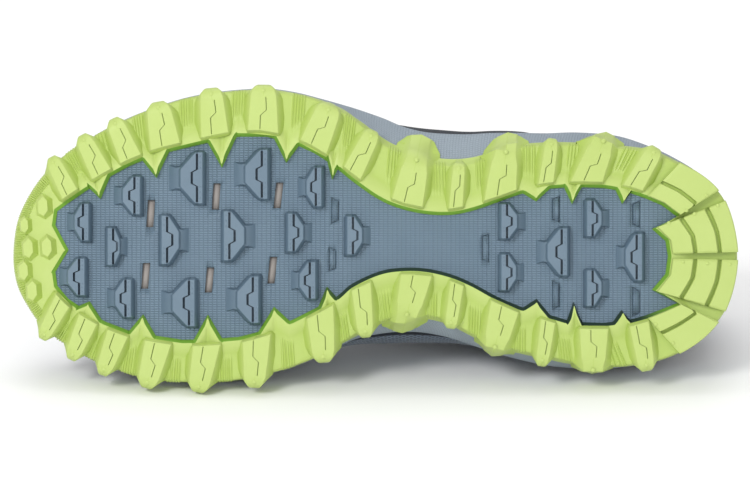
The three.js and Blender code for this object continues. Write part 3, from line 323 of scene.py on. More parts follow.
def travel(points: Array, axis: int = 0) -> Array:
    """Distance covered up to each point, along one direction of a lattice of points."""
    step = np.diff(points, axis=axis, prepend=points.take([0], axis))
    return np.linalg.norm(step, axis=-1).cumsum(axis)


def circle(axis: Array, hint: Sequence[float], count: int) -> Array:
    """Points of a circle of radius one round an axis, the first one square to a hint."""
    turn = np.linspace(0, 2 * np.pi, count, endpoint=False)
    side = unit(np.cross(axis, hint))
    return np.cos(turn)[:, None] * side + np.sin(turn)[:, None] * np.cross(axis, side)


def curve(rows: Table, keys: Array, column: int) -> Array:
    """A table's column at keys between its rows, by cubic Hermite pieces with central slopes.

    Args:
        rows: the table, its first column the keys in rising order.
        keys: where to read it.
        column: which column to read.

    Returns:
        The values, in the shape of keys.
    """
    table = np.asarray(rows, float)
    x, y = table[:, 0], table[:, column]
    last = len(x) - 1
    before = np.maximum(np.arange(last + 1) - 1, 0)
    after = np.minimum(np.arange(last + 1) + 1, last)
    slope = (y[after] - y[before]) / (x[after] - x[before])
    k = np.clip(np.searchsorted(x, keys, side="left") - 1, 0, last - 1)
    span = x[k + 1] - x[k]
    t = np.clip((keys - x[k]) / span, 0, 1)
    value = (2 * t**3 - 3 * t**2 + 1) * y[k] + (3 * t**2 - 2 * t**3) * y[k + 1]
    return value + span * ((t**3 - 2 * t**2 + t) * slope[k] + (t**3 - t**2) * slope[k + 1])


@dataclass(frozen=True)
class ShoeFrame:
    """Turns the shoe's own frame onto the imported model."""

    turn: Array
    shift: Array

    @classmethod
    def from_mounts(cls, record: dict, heel: tuple, forefoot: tuple) -> "ShoeFrame":
        """The frame that carries two known points of the tread to the record's mounts.

        Args:
            record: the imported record.
            heel: the heel mount's place in the shoe's frame, in mm.
            forefoot: the forefoot mount's place there.

        Returns:
            The frame, whose x, y and z are built from the tread's normal and the line
            between the two points, in both frames.
        """
        place = {m["name"]: m for m in record["mounts"]}
        a = np.array(place["heel_tread_face"]["pos_m"])
        b = np.array(place["forefoot_tread_face"]["pos_m"])
        up = -unit(np.array(place["heel_tread_face"]["axis"]))
        p, q = np.array(heel, float), np.array(forefoot, float)

        def axes(normal: Array, along: Array) -> Array:
            """Three unit vectors as columns: along, across and normal."""
            along = unit(along - normal * (along @ normal))
            return np.stack([along, np.cross(normal, along), normal], axis=1)

        turn = axes(up, b - a) @ axes(np.array([0.0, 0.0, 1.0]), q - p).T
        return cls(turn, (a + b) / 2 - turn @ ((p + q) / 2000))

    def world(self, points: Array) -> Array:
        """Points in mm in the shoe's frame, as metres in the row frame."""
        return points @ (self.turn.T / 1000) + self.shift

    def direction(self, vector: Sequence[float]) -> Vector:
        """A direction of the shoe's frame, in the row frame."""
        return Vector(self.turn @ np.asarray(vector, float))


@dataclass
class Surface:
    """A mesh in mm: points, four-cornered faces, a chart in mm and values at the points."""

    points: Array
    faces: Array
    chart: Array
    values: dict[str, Array] = field(default_factory=dict)
    slots: Array | None = None

    @property
    def volume(self) -> float:
        """Signed volume: positive where the faces point out."""
        a, b, c, d = (self.points[self.faces[:, k]] for k in range(4))
        first = np.einsum("ij,ij->i", a, np.cross(b, c)).sum()
        return float(first + np.einsum("ij,ij->i", a, np.cross(c, d)).sum()) / 6

    def facing_out(self) -> "Surface":
        """The same closed surface with its faces pointing out."""
        if self.volume < 0:
            self.faces = self.faces[:, ::-1]
        return self


def lattice(rows: int, columns: int, wrap: bool = False) -> Array:
    """Faces of a lattice of points kept row by row.

    Args:
        rows: number of rows.
        columns: number of points in a row.
        wrap: True where a row's last point joins its first.

    Returns:
        One face a cell, as four indices.
    """
    r = np.arange(rows - 1)[:, None] * columns
    c = np.arange(columns if wrap else columns - 1)[None, :]
    n = (c + 1) % columns
    return np.stack([r + c, r + n, r + columns + n, r + columns + c], -1).reshape(-1, 4)


def fan(ids: Array) -> Array:
    """Faces that close a ring of an even number of points by joining it pair by pair."""
    half = len(ids) // 2
    a, b = ids[:half], ids[::-1][:half]
    return np.stack([a[:-1], a[1:], b[1:], b[:-1]], -1)


def sweep(rings: Array, chart: Array | None = None) -> Surface:
    """A closed body from rings that follow one another, closed pair by pair at both ends.

    Args:
        rings: points, as (rows, points of a ring, 3), each ring in the same order.
        chart: the chart, as (rows, points of a ring, 2); by default x and y.

    Returns:
        The body, facing out.
    """
    rows, columns = rings.shape[:2]
    faces = lattice(rows, columns, wrap=True)
    first = fan(np.arange(columns))[:, ::-1]
    last = fan(np.arange(columns) + (rows - 1) * columns)
    points = rings.reshape(-1, 3)
    flat = points[:, :2] if chart is None else chart.reshape(-1, 2)
    return Surface(points, np.concatenate([faces, first, last]), flat).facing_out()


def merged(surfaces: Sequence[Surface]) -> Surface:
    """Several surfaces as one, values that one lacks being 0 there."""
    names = sorted({name for s in surfaces for name in s.values})
    offsets = np.cumsum([0] + [len(s.points) for s in surfaces[:-1]])
    faces = np.concatenate([s.faces + o for s, o in zip(surfaces, offsets)])
    values = {
        name: np.concatenate([s.values.get(name, np.zeros(len(s.points))) for s in surfaces])
        for name in names
    }
    slots = np.concatenate(
        [np.zeros(len(s.faces), int) if s.slots is None else s.slots for s in surfaces]
    )
    points = np.concatenate([s.points for s in surfaces])
    return Surface(points, faces, np.concatenate([s.chart for s in surfaces]), values, slots)


def dome(centre: Array, axis: Array, radius: float, height: float) -> Surface:
    """A small round bump: rings whose height falls as the square of their radius.

    Args:
        centre: its middle on the surface, in mm.
        axis: unit vector out of the surface.
        radius: radius at its foot.
        height: height at its middle.

    Returns:
        The bump, closed below the surface.
    """
    share = np.array([1.0, 1.0, 0.8, 0.45, 0.02])
    level = np.array([-0.5, 0.0, 0.55, 0.9, 1.0]) * height
    ring = circle(axis, [0.31, 0.9, 0.17], 8)
    return sweep(centre + share[:, None, None] * radius * ring + level[:, None, None] * axis)


@dataclass(frozen=True)
class Form:
    """The shoe's form, from which every piece takes its place. In mm, but flat_from and
    flat_to, which are shares of the length."""

    length: float = 291.2
    ball_width: float = 117.0
    heel_width: float = 91.0
    collar_height: float = 100.0
    toe_spring: float = 14.0
    heel_bevel: float = 2.0
    flat_from: float = 0.1
    flat_to: float = 0.62
    tread: float = 4.0
    web_top: float = 5.5
    rim_top: float = 7.0
    rim_side: float = 13.0
    rim_side_waist: float = 8.8
    foam_widest: float = 20.0
    side_foot: float = 5.2
    lip: float = 3.2
    feather: float = 4.0
    wall: float = 2.4
    clear: float = 0.3

    @property
    def half(self) -> int:
        """Rows of the outline from heel to toe."""
        return len(OUTLINE) - 1

    @property
    def around(self) -> int:
        """Places round the sole."""
        return 2 * self.half

    def row(self, place: Array) -> Array:
        """Rows of the outline at places round the sole, counted alike on both sides."""
        return np.where(place <= self.half, place, self.around - place)

    def plan(self, u: Array, v: Array) -> Array:
        """Shares of the length and width as a point in plan."""
        u, v = np.asarray(u, float), np.asarray(v, float)
        width = mix(self.heel_width, self.ball_width, ease((u - 0.25) / 0.35))
        return np.stack([u * self.length, v * width], -1)

    def lift(self, x: Array) -> Array:
        """Rise over the ground: the square of the distance past the flat part, at both ends."""
        u = np.asarray(x) / self.length
        toe = np.maximum(0, (u - self.flat_to) / (1 - self.flat_to))
        heel = np.maximum(0, (self.flat_from - u) / self.flat_from)
        return self.toe_spring * toe**2 + self.heel_bevel * heel**2

    def raised(self, p: Array, z: Array) -> Array:
        """Points in plan put at a height over the curved sole."""
        z = np.broadcast_to(np.asarray(z, float), p.shape[:-1])
        return np.concatenate([p, (z + self.lift(p[..., 0]))[..., None]], -1)

    def loop(self, x: int, lateral: int, medial: int) -> Array:
        """A closed outline read from three columns of the outline's table."""
        i = np.arange(self.around)
        row = self.row(i)
        table = np.asarray(OUTLINE)
        side = np.where(i <= self.half, table[row, lateral], table[row, medial])
        return self.plan(table[row, x], side)

    @property
    def outer(self) -> Array:
        """Foot of the rim's side."""
        return self.loop(0, 1, 2)

    @property
    def inner(self) -> Array:
        """Inner edge of the rim without its teeth."""
        return self.loop(3, 4, 5)

    @property
    def foam(self) -> Array:
        """Widest outline of the foam."""
        return self.loop(0, 6, 7)

    def at(self, loop: Array, place: Array, smooth: bool = True) -> Array:
        """Points of a closed loop at places, by a Catmull-Rom spline or by straight lines."""
        place = np.asarray(place, float)
        i = np.floor(place).astype(int)
        t = (place - i)[..., None]
        a, b, c, d = (loop[(i + k) % self.around] for k in (-1, 0, 1, 2))
        if not smooth:
            return b + (c - b) * t
        return spline(a, b, c, d, t)

    def inward(self, loop: Array, place: Array) -> Array:
        """Unit vectors in plan from a loop's edge to its inside."""
        d = self.at(loop, place + 0.3) - self.at(loop, place - 0.3)
        return unit(np.stack([d[..., 1], -d[..., 0]], -1))

    def inset(self, loop: Array, place: Array, depth: Array) -> Array:
        """Points at a depth inside a loop's edge."""
        depth = np.asarray(depth, float)
        depth = depth[..., None] if depth.ndim else depth
        return self.at(loop, place) + self.inward(loop, place) * depth

    def side(self, place: Array, height: Array, depth: Array = 0.0) -> Array:
        """The sole's side at a height, between its foot outline and its widest one."""
        rise = np.asarray(height, float) - self.side_foot
        q = np.clip(rise / (self.foam_widest - self.side_foot), 0, 1)
        share = np.broadcast_to(0.5 * ease(q) + 0.5 * q, np.shape(place))[..., None]
        p = mix(self.at(self.outer, place), self.at(self.foam, place), share)
        depth = np.broadcast_to(np.asarray(depth, float), np.shape(place))[..., None]
        return p + self.inward(self.foam, place) * depth

    def rim_height(self, place: Array) -> Array:
        """Height of the rim's side wall: lower where the foam flares out over it."""
        flare = np.linalg.norm(self.at(self.foam, place) - self.at(self.outer, place), axis=-1)
        return mix(self.rim_side, self.rim_side_waist, ease((flare - 1) / 4))

    def edge_height(self, x: Array) -> Array:
        """Height of the foam's top edge over the curved sole."""
        return curve(SIDE_HEIGHT, np.asarray(x) / self.length, 1)

    def upper_at(self, place: Array, share: Array) -> Array:
        """The upper's outside: a Bezier curve from the feather line to the top edge.

        Args:
            place: places round the foot.
            share: shares up the wall, below FEATHER_SHARE its foot inside the foam's lip.

        Returns:
            Points in mm.
        """
        place, share = np.broadcast_arrays(np.asarray(place, float), np.asarray(share, float))
        row = self.row(place)
        side = np.where(place <= self.half, 1.0, -1.0)
        foot = self.inset(self.foam, place, self.feather)
        edge = self.edge_height(foot[..., 0])
        low_start = self.raised(foot, edge - self.lip + self.clear)
        start = self.raised(foot, edge + 0.6)
        x, half, z, centre = (curve(TOP_EDGE, row, c) for c in (1, 2, 3, 4))
        gape = np.where(row >= THROAT_ROW, 0.0, np.maximum(0.0, half))
        end = np.stack(
            [x * self.length, (centre + side * gape) * self.ball_width, z * self.collar_height], -1
        )
        low = np.where(side > 0, curve(TOP_EDGE, row, 5), curve(TOP_EDGE, row, 6))
        high = np.where(side > 0, curve(TOP_EDGE, row, 7), curve(TOP_EDGE, row, 8))
        out = -self.inward(self.foam, place)
        tall = end[..., 2] - start[..., 2]
        lean = unit(start[..., :2] - end[..., :2] + out * 6)
        closed = ease((row - 16) / 8)
        p1 = start.copy()
        p1[..., :2] += out * (low * self.ball_width)[..., None]
        p1[..., 2] += tall * mix(0.35, 0.6, closed)
        p2 = end.copy()
        p2[..., :2] += lean * (high * self.ball_width)[..., None]
        p2[..., 2] -= curve(TOP_EDGE, row, 9) * tall
        t = np.clip((share - FEATHER_SHARE) / WALL_SHARE, 0, 1)[..., None]
        wall = (
            start * (1 - t) ** 3 + 3 * p1 * t * (1 - t) ** 2 + 3 * p2 * t**2 * (1 - t) + end * t**3
        )
        foot_share = np.clip(share / FEATHER_SHARE, 0, 1)[..., None]
        hidden = share[..., None] < FEATHER_SHARE
        return np.where(hidden, mix(low_start, start, foot_share), wall)

    def wall_normal(self, place: Array, share: Array) -> Array:
        """Unit vectors out of the upper's wall, from differences along both directions."""
        place, share = np.broadcast_arrays(np.asarray(place, float), np.asarray(share, float))
        a = self.upper_at((place + 0.2) % self.around, share)
        a = a - self.upper_at((place - 0.2) % self.around, share)
        low = self.upper_at(place, np.maximum(FEATHER_SHARE, share - 0.03))
        b = self.upper_at(place, np.minimum(1, share + 0.03)) - low
        return -unit(np.cross(a, b))


FORM = Form()
POSE = ShoeFrame.from_mounts(FRAME["record"], (94.8, 29.6, 0.0), (167.2, -34.0, 0.0))


def mesh_object(name: str, surface: Surface, materials: Sequence[bpy.types.Material],
                smooth: float | None = 40.0, weld: bool = True) -> bpy.types.Object:
    """Puts a surface into a new object that rides on the shoe's body.

    Args:
        name: the object's name.
        surface: its mesh in the shoe's frame, in mm.
        materials: its materials, in the order of the surface's slots.
        smooth: sharpest angle in degrees that is shaded smooth, or None for flat faces.
        weld: True to join points that lie on one another, which closes seams and poles.

    Returns:
        The object, at the origin.
    """
    mesh = bpy.data.meshes.new(name)
    points = POSE.world(surface.points)
    faces = surface.faces
    mesh.vertices.add(len(points))
    mesh.vertices.foreach_set("co", points.ravel())
    mesh.loops.add(faces.size)
    mesh.loops.foreach_set("vertex_index", faces.ravel())
    mesh.polygons.add(len(faces))
    mesh.polygons.foreach_set("loop_start", np.arange(0, faces.size, 4))
    chart = mesh.uv_layers.new(name="Chart")
    chart.data.foreach_set("uv", surface.chart[faces.ravel()].ravel())
    if surface.slots is not None:
        mesh.polygons.foreach_set("material_index", surface.slots)
    for key, value in surface.values.items():
        layer = mesh.attributes.new(key, "FLOAT", "POINT")
        layer.data.foreach_set("value", np.asarray(value, float))
    mesh.update(calc_edges=True)
    if weld:
        work = bmesh.new()
        work.from_mesh(mesh)
        bmesh.ops.remove_doubles(work, verts=work.verts, dist=2e-6)
        bmesh.ops.dissolve_degenerate(work, edges=work.edges, dist=1e-7)
        work.to_mesh(mesh)
        work.free()
    mesh.validate()
    for material in materials:
        mesh.materials.append(material)
    if smooth is not None:
        mesh.shade_smooth()
        mesh.set_sharp_from_angle(angle=math.radians(smooth))
    made = bpy.data.objects.new(name, mesh)
    bpy.context.scene.collection.objects.link(made)
    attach(made, "root")
    LOG.info("%s: %d faces", name, len(mesh.polygons))
    return made


@dataclass(frozen=True)
class OutsoleRim:
    """The green rubber ring: valleys with ribs, lugs, heel blocks and toe lumps. In mm."""

    form: Form
    samples: int = 34
    toe_samples: int = 60
    rib_pitch: float = 1.15
    rib_height: float = 0.5
    toe_rib_pitch: float = 0.95
    step_slope: float = 1.3
    inner_rise: float = 1.9
    flank: float = 3.2
    bevel: float = 0.4
    sipe: float = 0.13
    sipe_depth: float = 0.9
    wing_foot: float = 6.0
    wing_waist: float = 4.4
    wing_tip: float = 0.85
    root_depth: float = 4.6
    base_depth: float = 5.2
    under: float = 10.0

    def teeth(self) -> list[tuple[float, float, float, Array]]:
        """Start, tip and end places of each tooth on the inner edge, and its point in plan."""
        form = self.form
        rows = 4.5 + np.arange(10 * (form.half - 6)) / 10

        def place(side: float, share: float) -> float:
            """Place on a side whose inner edge is at a share of the length."""
            at = rows if side > 0 else form.around - rows
            away = np.abs(form.at(form.inner, at, False)[:, 0] - share * form.length)
            return float(at[np.argmin(away)])

        return [(place(side, u - side * half), place(side, u), place(side, u + side * half),
                 form.plan(u, v)) for side, u, v, half in TEETH]

    def root(self, place: Array) -> Array:
        """Inner edge in plan: straight from row to row, and drawn out to a point at a tooth."""
        form = self.form
        root = form.at(form.inner, place, False)
        waist = pulse(root[:, 0] / form.length, 0.33, 0.57, 0.03)[:, None]
        root = mix(root, form.at(form.inner, place), waist)
        for a, tip, b, end in self.teeth():
            near = (place >= a) & (place <= b)
            t = np.where(place < tip, (place - a) / (tip - a), (b - place) / (b - tip))
            foot = form.at(form.inner, np.where(place < tip, a, b), False)
            drawn = mix(foot, end, np.clip(t, 0, 1)[..., None])
            root = np.where(near[..., None], drawn, root)
        return root

    def places(self) -> Array:
        """Places round the sole, closer together at the toe, the first one again at the end."""
        parts = []
        for i in range(self.form.around):
            row = min(i, self.form.around - i)
            count = self.toe_samples if row >= 27 else self.samples
            parts.append(i + np.arange(count) / count)
        return np.concatenate([*parts, [self.form.around]])

    def nearest(self, loop: Array, point: Array) -> float:
        """Place of a loop that lies nearest to a point."""
        places = np.arange(self.form.around * 20) / 20
        away = np.linalg.norm(self.form.at(loop, places) - point, axis=1)
        return float(places[np.argmin(away)])

    def valley_ribs(self, place: Array, run: Array) -> Array:
        """Height of the ribs: five raised cosines about the middle of each valley.

        Args:
            place: places round the sole.
            run: distance round the sole at those places.

        Returns:
            Height shares from 0 to 1.
        """
        form = self.form
        tips = np.sort([self.nearest(form.outer, form.plan(r[2], r[3])) for r in RIM_LUGS])
        gaps = np.diff(tips)
        middle = (tips[:-1] + gaps / 2)[gaps < 3.6]
        centre = np.interp(middle, place, run)
        away = run[:, None] - centre[None, :]
        d = away[np.arange(len(run)), np.argmin(np.abs(away), axis=1)]
        inside = np.abs(d) < 2.5 * self.rib_pitch
        return np.where(inside, 0.5 + 0.5 * np.cos(2 * np.pi * d / self.rib_pitch), 0.0)

    def ring(self) -> Surface:
        """The ring under the lugs: a closed profile carried round the outline.

        The profile runs from the inner step across the ribbed valley floor, over the edge,
        up the side and back over the foam and the web's margin.
        """
        form = self.form
        place = self.places()
        turn = place % form.around
        outer = form.at(form.outer, turn)
        run = travel(outer)
        root = self.root(turn)
        out = unit(outer - root)
        ahead = np.roll(root[:-1], -3, axis=0) - np.roll(root[:-1], 3, axis=0)
        across = unit(np.stack([-ahead[:, 1], ahead[:, 0]], -1))
        across = np.concatenate([across, across[:1]])
        slant = np.clip(np.abs(np.sum(across * out, axis=1)), 0.42, 1.0)
        ledge = root + out * (self.step_slope / slant)[:, None]
        row = form.row(turn)
        ribs = self.valley_ribs(place, run) * self.rib_height
        toe = 0.5 + 0.5 * np.cos(2 * np.pi * run / self.toe_rib_pitch)
        toe = toe * pulse(row, 28.4, 33.0, 0.4) * 0.7
        rise = self.inner_rise * (1 - pulse(row, 29.0, 33.0, 1.0))
        columns = [(root, self.base_depth, 1.0), (ledge, form.tread - rise + 0.1, 1.0),
                   (ledge + out * 0.12, form.tread - rise, 0.0)]
        for share in (0.1, 0.2, 0.3, 0.4, 0.47, 0.54, 0.62, 0.7, 0.76, 0.8, 0.86, 0.92, 0.965):
            floor = mix(ledge, outer, share)
            height = ribs * pulse(share, 0.46, 1.0, 0.1) + toe * pulse(share, 0.76, 1.0, 0.03)
            height = height + rise * (1 - ease((share - 0.06) / 0.32))
            columns.append((floor, form.tread - height + 0.5 * ease((share - 0.9) / 0.1), 0.0))
        top = form.rim_height(turn)
        for share in (0.0, 0.12, 0.3, 0.55, 0.8, 0.96):
            z = mix(form.tread + 1.5, top, share)
            fade = 1 - ease(share * 1.6)
            columns.append((form.side(turn, z, -(ribs + toe * 0.7) * fade * 0.8), z, 0.0))
        columns.append((form.side(turn, top, 0.35), top + 0.02, 0.0))
        columns.append((form.side(turn, top, 1.6), top, 0.0))
        columns.append((form.inset(form.outer, turn, 2.1), form.rim_top, 0.0))
        columns.append((form.inset(form.outer, turn, self.under), form.rim_top, 0.0))
        columns.append((form.inset(form.outer, turn, self.under), self.base_depth, 0.0))
        rings = np.stack([form.raised(p, z) for p, z, _ in columns], axis=1)
        # Painted shade on the inner step's first two columns: darker green, and near-black on the
        # medial side from the heel to the waist
        dark = np.where(turn > form.half, pulse(row, 5.5, 17.5, 2), 0.0)
        step = np.array([s for _, _, s in columns]) * (1 + dark)[:, None]
        # Painted shade on the valley floors, weaker at the toe, darker between the ribs than on
        # their crests
        pale = 0.45 - 0.3 * pulse(row, 29.0, 33.0, 1.0)
        floor = pale[:, None] * np.array([float(4 < n < 21) for n in range(len(columns))])
        floor[:, 10:19] += (0.3 - 0.5 * ribs - 0.5 * toe)[:, None] * (ribs + toe > 0)[:, None]
        across = travel(rings, 1)
        chart = np.stack([np.broadcast_to(run[:, None], across.shape), across], -1)
        count = rings.shape[1]
        faces = lattice(len(place), count, wrap=True)
        values = {"step": step.ravel(), "valley": np.clip(floor.ravel(), 0, 1)}
        return Surface(rings.reshape(-1, 3), faces, chart.reshape(-1, 2), values).facing_out()

    def lug(self, row: Sequence[float]) -> list[Surface]:
        """One outer lug with its sipe, and the dot near its tip.

        Sections follow one another from the inner end to the tip and then up the side. Each
        section has a flat top with bevelled edges, a narrow groove whose place across the
        top jogs half way along, and sloping flanks.

        Args:
            row: a row of RIM_LUGS.

        Returns:
            The lug and its dot.
        """
        form = self.form
        u, v, tip_u, tip_v, root_half, tip_half, climb = row
        root, tip = form.plan(u, v), form.plan(tip_u, tip_v)
        long = float(np.linalg.norm(tip - root))
        along = (tip - root) / long
        cross = np.array([-along[1], along[0]])
        a, b = root_half * form.ball_width, tip_half * form.ball_width
        place = self.nearest(form.foam, tip)
        near = (place - 1.5 + np.arange(121) / 40) % form.around

        def station(z: float, depth: float) -> Callable[[float], float]:
            """Distance along the lug to the sole's side, as a function of the place across."""
            spot = form.side(near, z, depth) - root
            s, w = spot @ along, spot @ cross
            return lambda wide: float(s[np.argmin(np.abs(w - wide))])

        rows = self.nearest(form.inner, root) - 2.5 + np.arange(201) / 40
        spots = form.at(form.inner, rows % form.around, False) - root
        lip = lambda more: (lambda wide: more + float(
            (spots @ along)[np.argmin(np.abs(spots @ cross - wide))]))
        edge = station(form.tread, 0)
        inside = station(form.tread, 2.4)
        side = 1 if v > 0 else -1
        jog = side * min(1.25, 0.3 * a)
        sections = []

        def add(top: float | Callable, z: float, half: float, base: float | Callable,
                z_base: float, wide: float, groove: float = 0.0, offset: float = 0.0) -> None:
            """Adds a section: its top and its base, each by station, height and half width."""
            reach = max(half - self.bevel, 0.3)
            o = float(np.clip(offset, -reach + 0.6, reach - 0.6)) if reach > 0.8 else 0.0
            curl = mix(half, wide, 0.48)
            ws = [-wide, -curl, -half, -reach, o - self.sipe - 0.05, o - self.sipe,
                  o + self.sipe, o + self.sipe + 0.05, reach, half, curl, wide]
            fall = mix(z + self.bevel, z_base, 0.55)
            zs = [z_base, fall, z + self.bevel, z, z, z + groove, z + groove, z, z,
                  z + self.bevel, fall, z_base]
            down = [1, 0.5, 0, 0, 0, 0, 0, 0, 0, 0, 0.5, 1]
            ends = [[at(w) if callable(at) else at for w in ws] for at in (top, base)]
            stations = mix(np.array(ends[0]), np.array(ends[1]), np.array(down))
            plan = root + along * stations[:, None] + cross * np.array(ws)[:, None]
            sections.append(form.raised(plan, np.array(zs)))

        add(lip(1.4), 2.0, a, lip(1.4), self.root_depth, a + 0.6)
        add(lip(2.6), 0.0, a, lip(2.2), self.root_depth, a + 1.2, 0.0, -jog)
        last = long - 4.6
        waist = mix(b, a, 0.55)
        for s, g, o in ((3.0, 0, -1), (3.2, 1, -1), (0.45, 1, -0.9), (0.6, 1, 1), (0.94, 1, 0.8),
                        (0.97, 0, 0.8)):
            t = 0.1 if s > 1 else s
            at = lip(s) if s > 1 else s * last
            flank = mix(1.6, self.flank, min(1.0, 2.2 * t))
            add(at, 0.0, mix(a, waist, t),
                lip(s) if s > 1 else mix(0.0, min(last - 0.5, edge(0) - 4), t),
                mix(self.root_depth, self.base_depth, t), mix(a, waist, t) + flank,
                g * self.sipe_depth, o * jog)
        add(last, 0.0, waist, min(last - 0.5, edge(0) - 4), self.base_depth,
            waist + self.flank)
        neck = mix(last, inside(0), 0.5)
        add(long - 2.3, 0.25, mix(b, waist, 0.45), neck, 5.8,
            mix(b, waist, 0.5) + self.flank + 1.6 * (climb > 0))
        if climb > 0:
            over = lambda z: station(z, -0.45)
            proud = lambda z: (lambda w, s=over(z): max(long + 1, s(w) + 2.4 - (w / b) ** 2))
            low = float(form.rim_height(np.array([place]))[0]) + 1.3
            tip_half = b * self.wing_tip
            add(long + 0.5, 1.2, b, lambda w: max(inside(w), neck + 0.3), form.rim_top - 1,
                b + self.wing_foot)
            add(proud(5), 3.8, b, station(7.6, 0.8), 7.6, b + self.wing_foot * 0.85)
            add(proud(7), 6.5, b, over(low), low, b + self.wing_waist)
            add(proud(11), 10.8, b * 0.95, over(12.5), 12.5, b + self.wing_waist * 0.6)
            add(lambda w, s=over(14.5): s(w) + 2.2 - 1.5 * (w / b) ** 2, 13.8, b,
                over(14.6), 14.6, b + 1.2)
            add(lambda w, s=over(15.6): s(w) + 0.8 - (w / b) ** 2, 15.0, tip_half,
                over(15.4), 15.5, b)
        else:
            crest = min(9.7, float(form.rim_height(np.array([place]))[0]) - 1)
            wall = station(crest, -0.5)
            add(long - 0.8, 1.4, b * 0.85, lambda w: max(inside(w), neck + 0.3),
                form.rim_top - 0.6, b + self.flank)
            add(long - 0.2, 3.0, b * 0.66, station(7.0, 1.4), 7.0, b + 2.0)
            add(long, 5.0, b * 0.5, station(7.6, 1), 7.6, b + 1.4)
            add(lambda w: max(long - 0.8, wall(w)), crest - 0.6, b * 0.35, station(crest, 0.8),
                crest, b * 0.9)
            add(lambda w: wall(w) - 0.6, crest + 0.1, b * 0.2, station(crest, 0.9), crest + 0.4,
                b * 0.7)
        body = sweep(np.array(sections))
        # Painted shade across each section: darkest at the flanks' foot, half in the sipe, none on
        # the top, and over the whole first section at the inner end
        section_shade = [1, 0.75, 0.15, 0, 0, 0.5, 0.5, 0, 0, 0.15, 0.75, 1]
        body.values["valley"] = np.tile(section_shade, len(sections)).astype(float)
        body.values["valley"][:12] = 1.0
        spot = form.raised(tip if climb > 0 else tip - along * 2.6, 0.35)
        return [body, dome(spot, DOWN, 0.95, 0.4)]

    def block(self, first: float, last: float, side: float, bands: Table) -> list[Surface]:
        """One flat heel block, its bands parted by curved grooves.

        Args:
            first: row of the outline where it starts.
            last: row where it ends.
            side: 1 on the lateral side, -1 on the medial side.
            bands: shares across the block where each band starts and ends.

        Returns:
            The block and its dots.
        """
        form = self.form
        rows = np.linspace(first, last, 25)
        fade = np.clip(np.minimum(rows - first, last - rows) / 0.04, 0, 1)
        place = rows if side > 0 else form.around - rows
        root = form.at(form.inner, place, False)
        edge = form.side(place, form.tread, -0.8)
        columns = []
        for n, (a, b) in enumerate(bands):
            low = form.tread - self.inner_rise if n == 0 else 2.5
            high = 2.5 if n < len(bands) - 1 else 1.9
            for share, z in ((a, low), (a + 0.008, 0.35), (a + 0.02, 0.0), (b - 0.02, 0.0),
                             (b - 0.008, 0.35), (b, high)):
                columns.append((mix(root, edge, share), z + (1 - fade) * 0.5 * (z < 1)))
        columns += [(form.side(place, 9, -0.5), 9.0 + 0 * rows), (form.side(place, 9, 1), 9.0),
                    (mix(root, edge, 0.9), 5.0)]
        columns += [(mix(root, edge, share), self.root_depth) for share in (0.5, 0.3, 0.12)]
        if len(columns) % 2:
            columns.append((mix(root, edge, 0.1), 4.5))
        body = sweep(np.stack([form.raised(p, z) for p, z in columns], axis=1))
        # Painted shade on the block's lower columns
        deep = np.array([float(np.mean(z) > 1.5) for _, z in columns])
        body.values["valley"] = np.tile(deep, (len(rows), 1)).ravel()
        end = -2 if side * (1.5 - first) > 0 else 2
        dots = []
        for a, b in bands:
            spot = form.raised(mix(root[end], edge[end], (a + b) / 2), 0.0)
            dots.append(dome(spot, DOWN, 0.8, 0.3))
        return [body, *dots]

    def lump(self, row: Sequence[float]) -> Surface:
        """One small lug of the toe: a hill of six corners whose heel side is longer, with painted
        shade on its sides towards its foot, darkest on the heel side. It is smaller close to the
        sole's edge."""
        centre = self.form.plan(*row)
        place = self.nearest(self.form.outer, centre)
        edge = self.form.at(self.form.outer, np.array([place]))[0]
        grow = np.clip(np.linalg.norm(edge - centre) / 4.6, 0.55, 1.0)
        foot, top = np.array(LUMP_FOOT), np.array(LUMP_TOP)
        rings = [self.form.raised(centre + shape * grow, z)
                 for shape, z in ((foot * 1.1, 4.4), (foot, 4.0), (top * 1.05, 1.8),
                                  (top * 0.96, 1.55))]
        made = sweep(np.array(rings))
        # Painted shade on the three foot rings; none on the top
        made.values["valley"] = np.array([*LUMP_SHADE * 3, *[0.0] * len(LUMP_TOP)])
        return made

    def build(self, finish: "RubberFinish") -> bpy.types.Object:
        """Makes the ring with all its lugs as one piece that stands for the CAD ring."""
        parts = [self.ring()]
        for row in RIM_LUGS:
            parts += self.lug(row)
        for first, last, side, count in HEEL_BLOCKS:
            parts += self.block(first, last, side, BLOCK_BANDS if count > 2 else SIDE_BANDS)
        parts += [self.lump(row) for row in TOE_LUMPS]
        made = mesh_object("green_rim", merged(parts), [finish.build("green_rubber")], 32)
        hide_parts("outsole_rim")
        return made


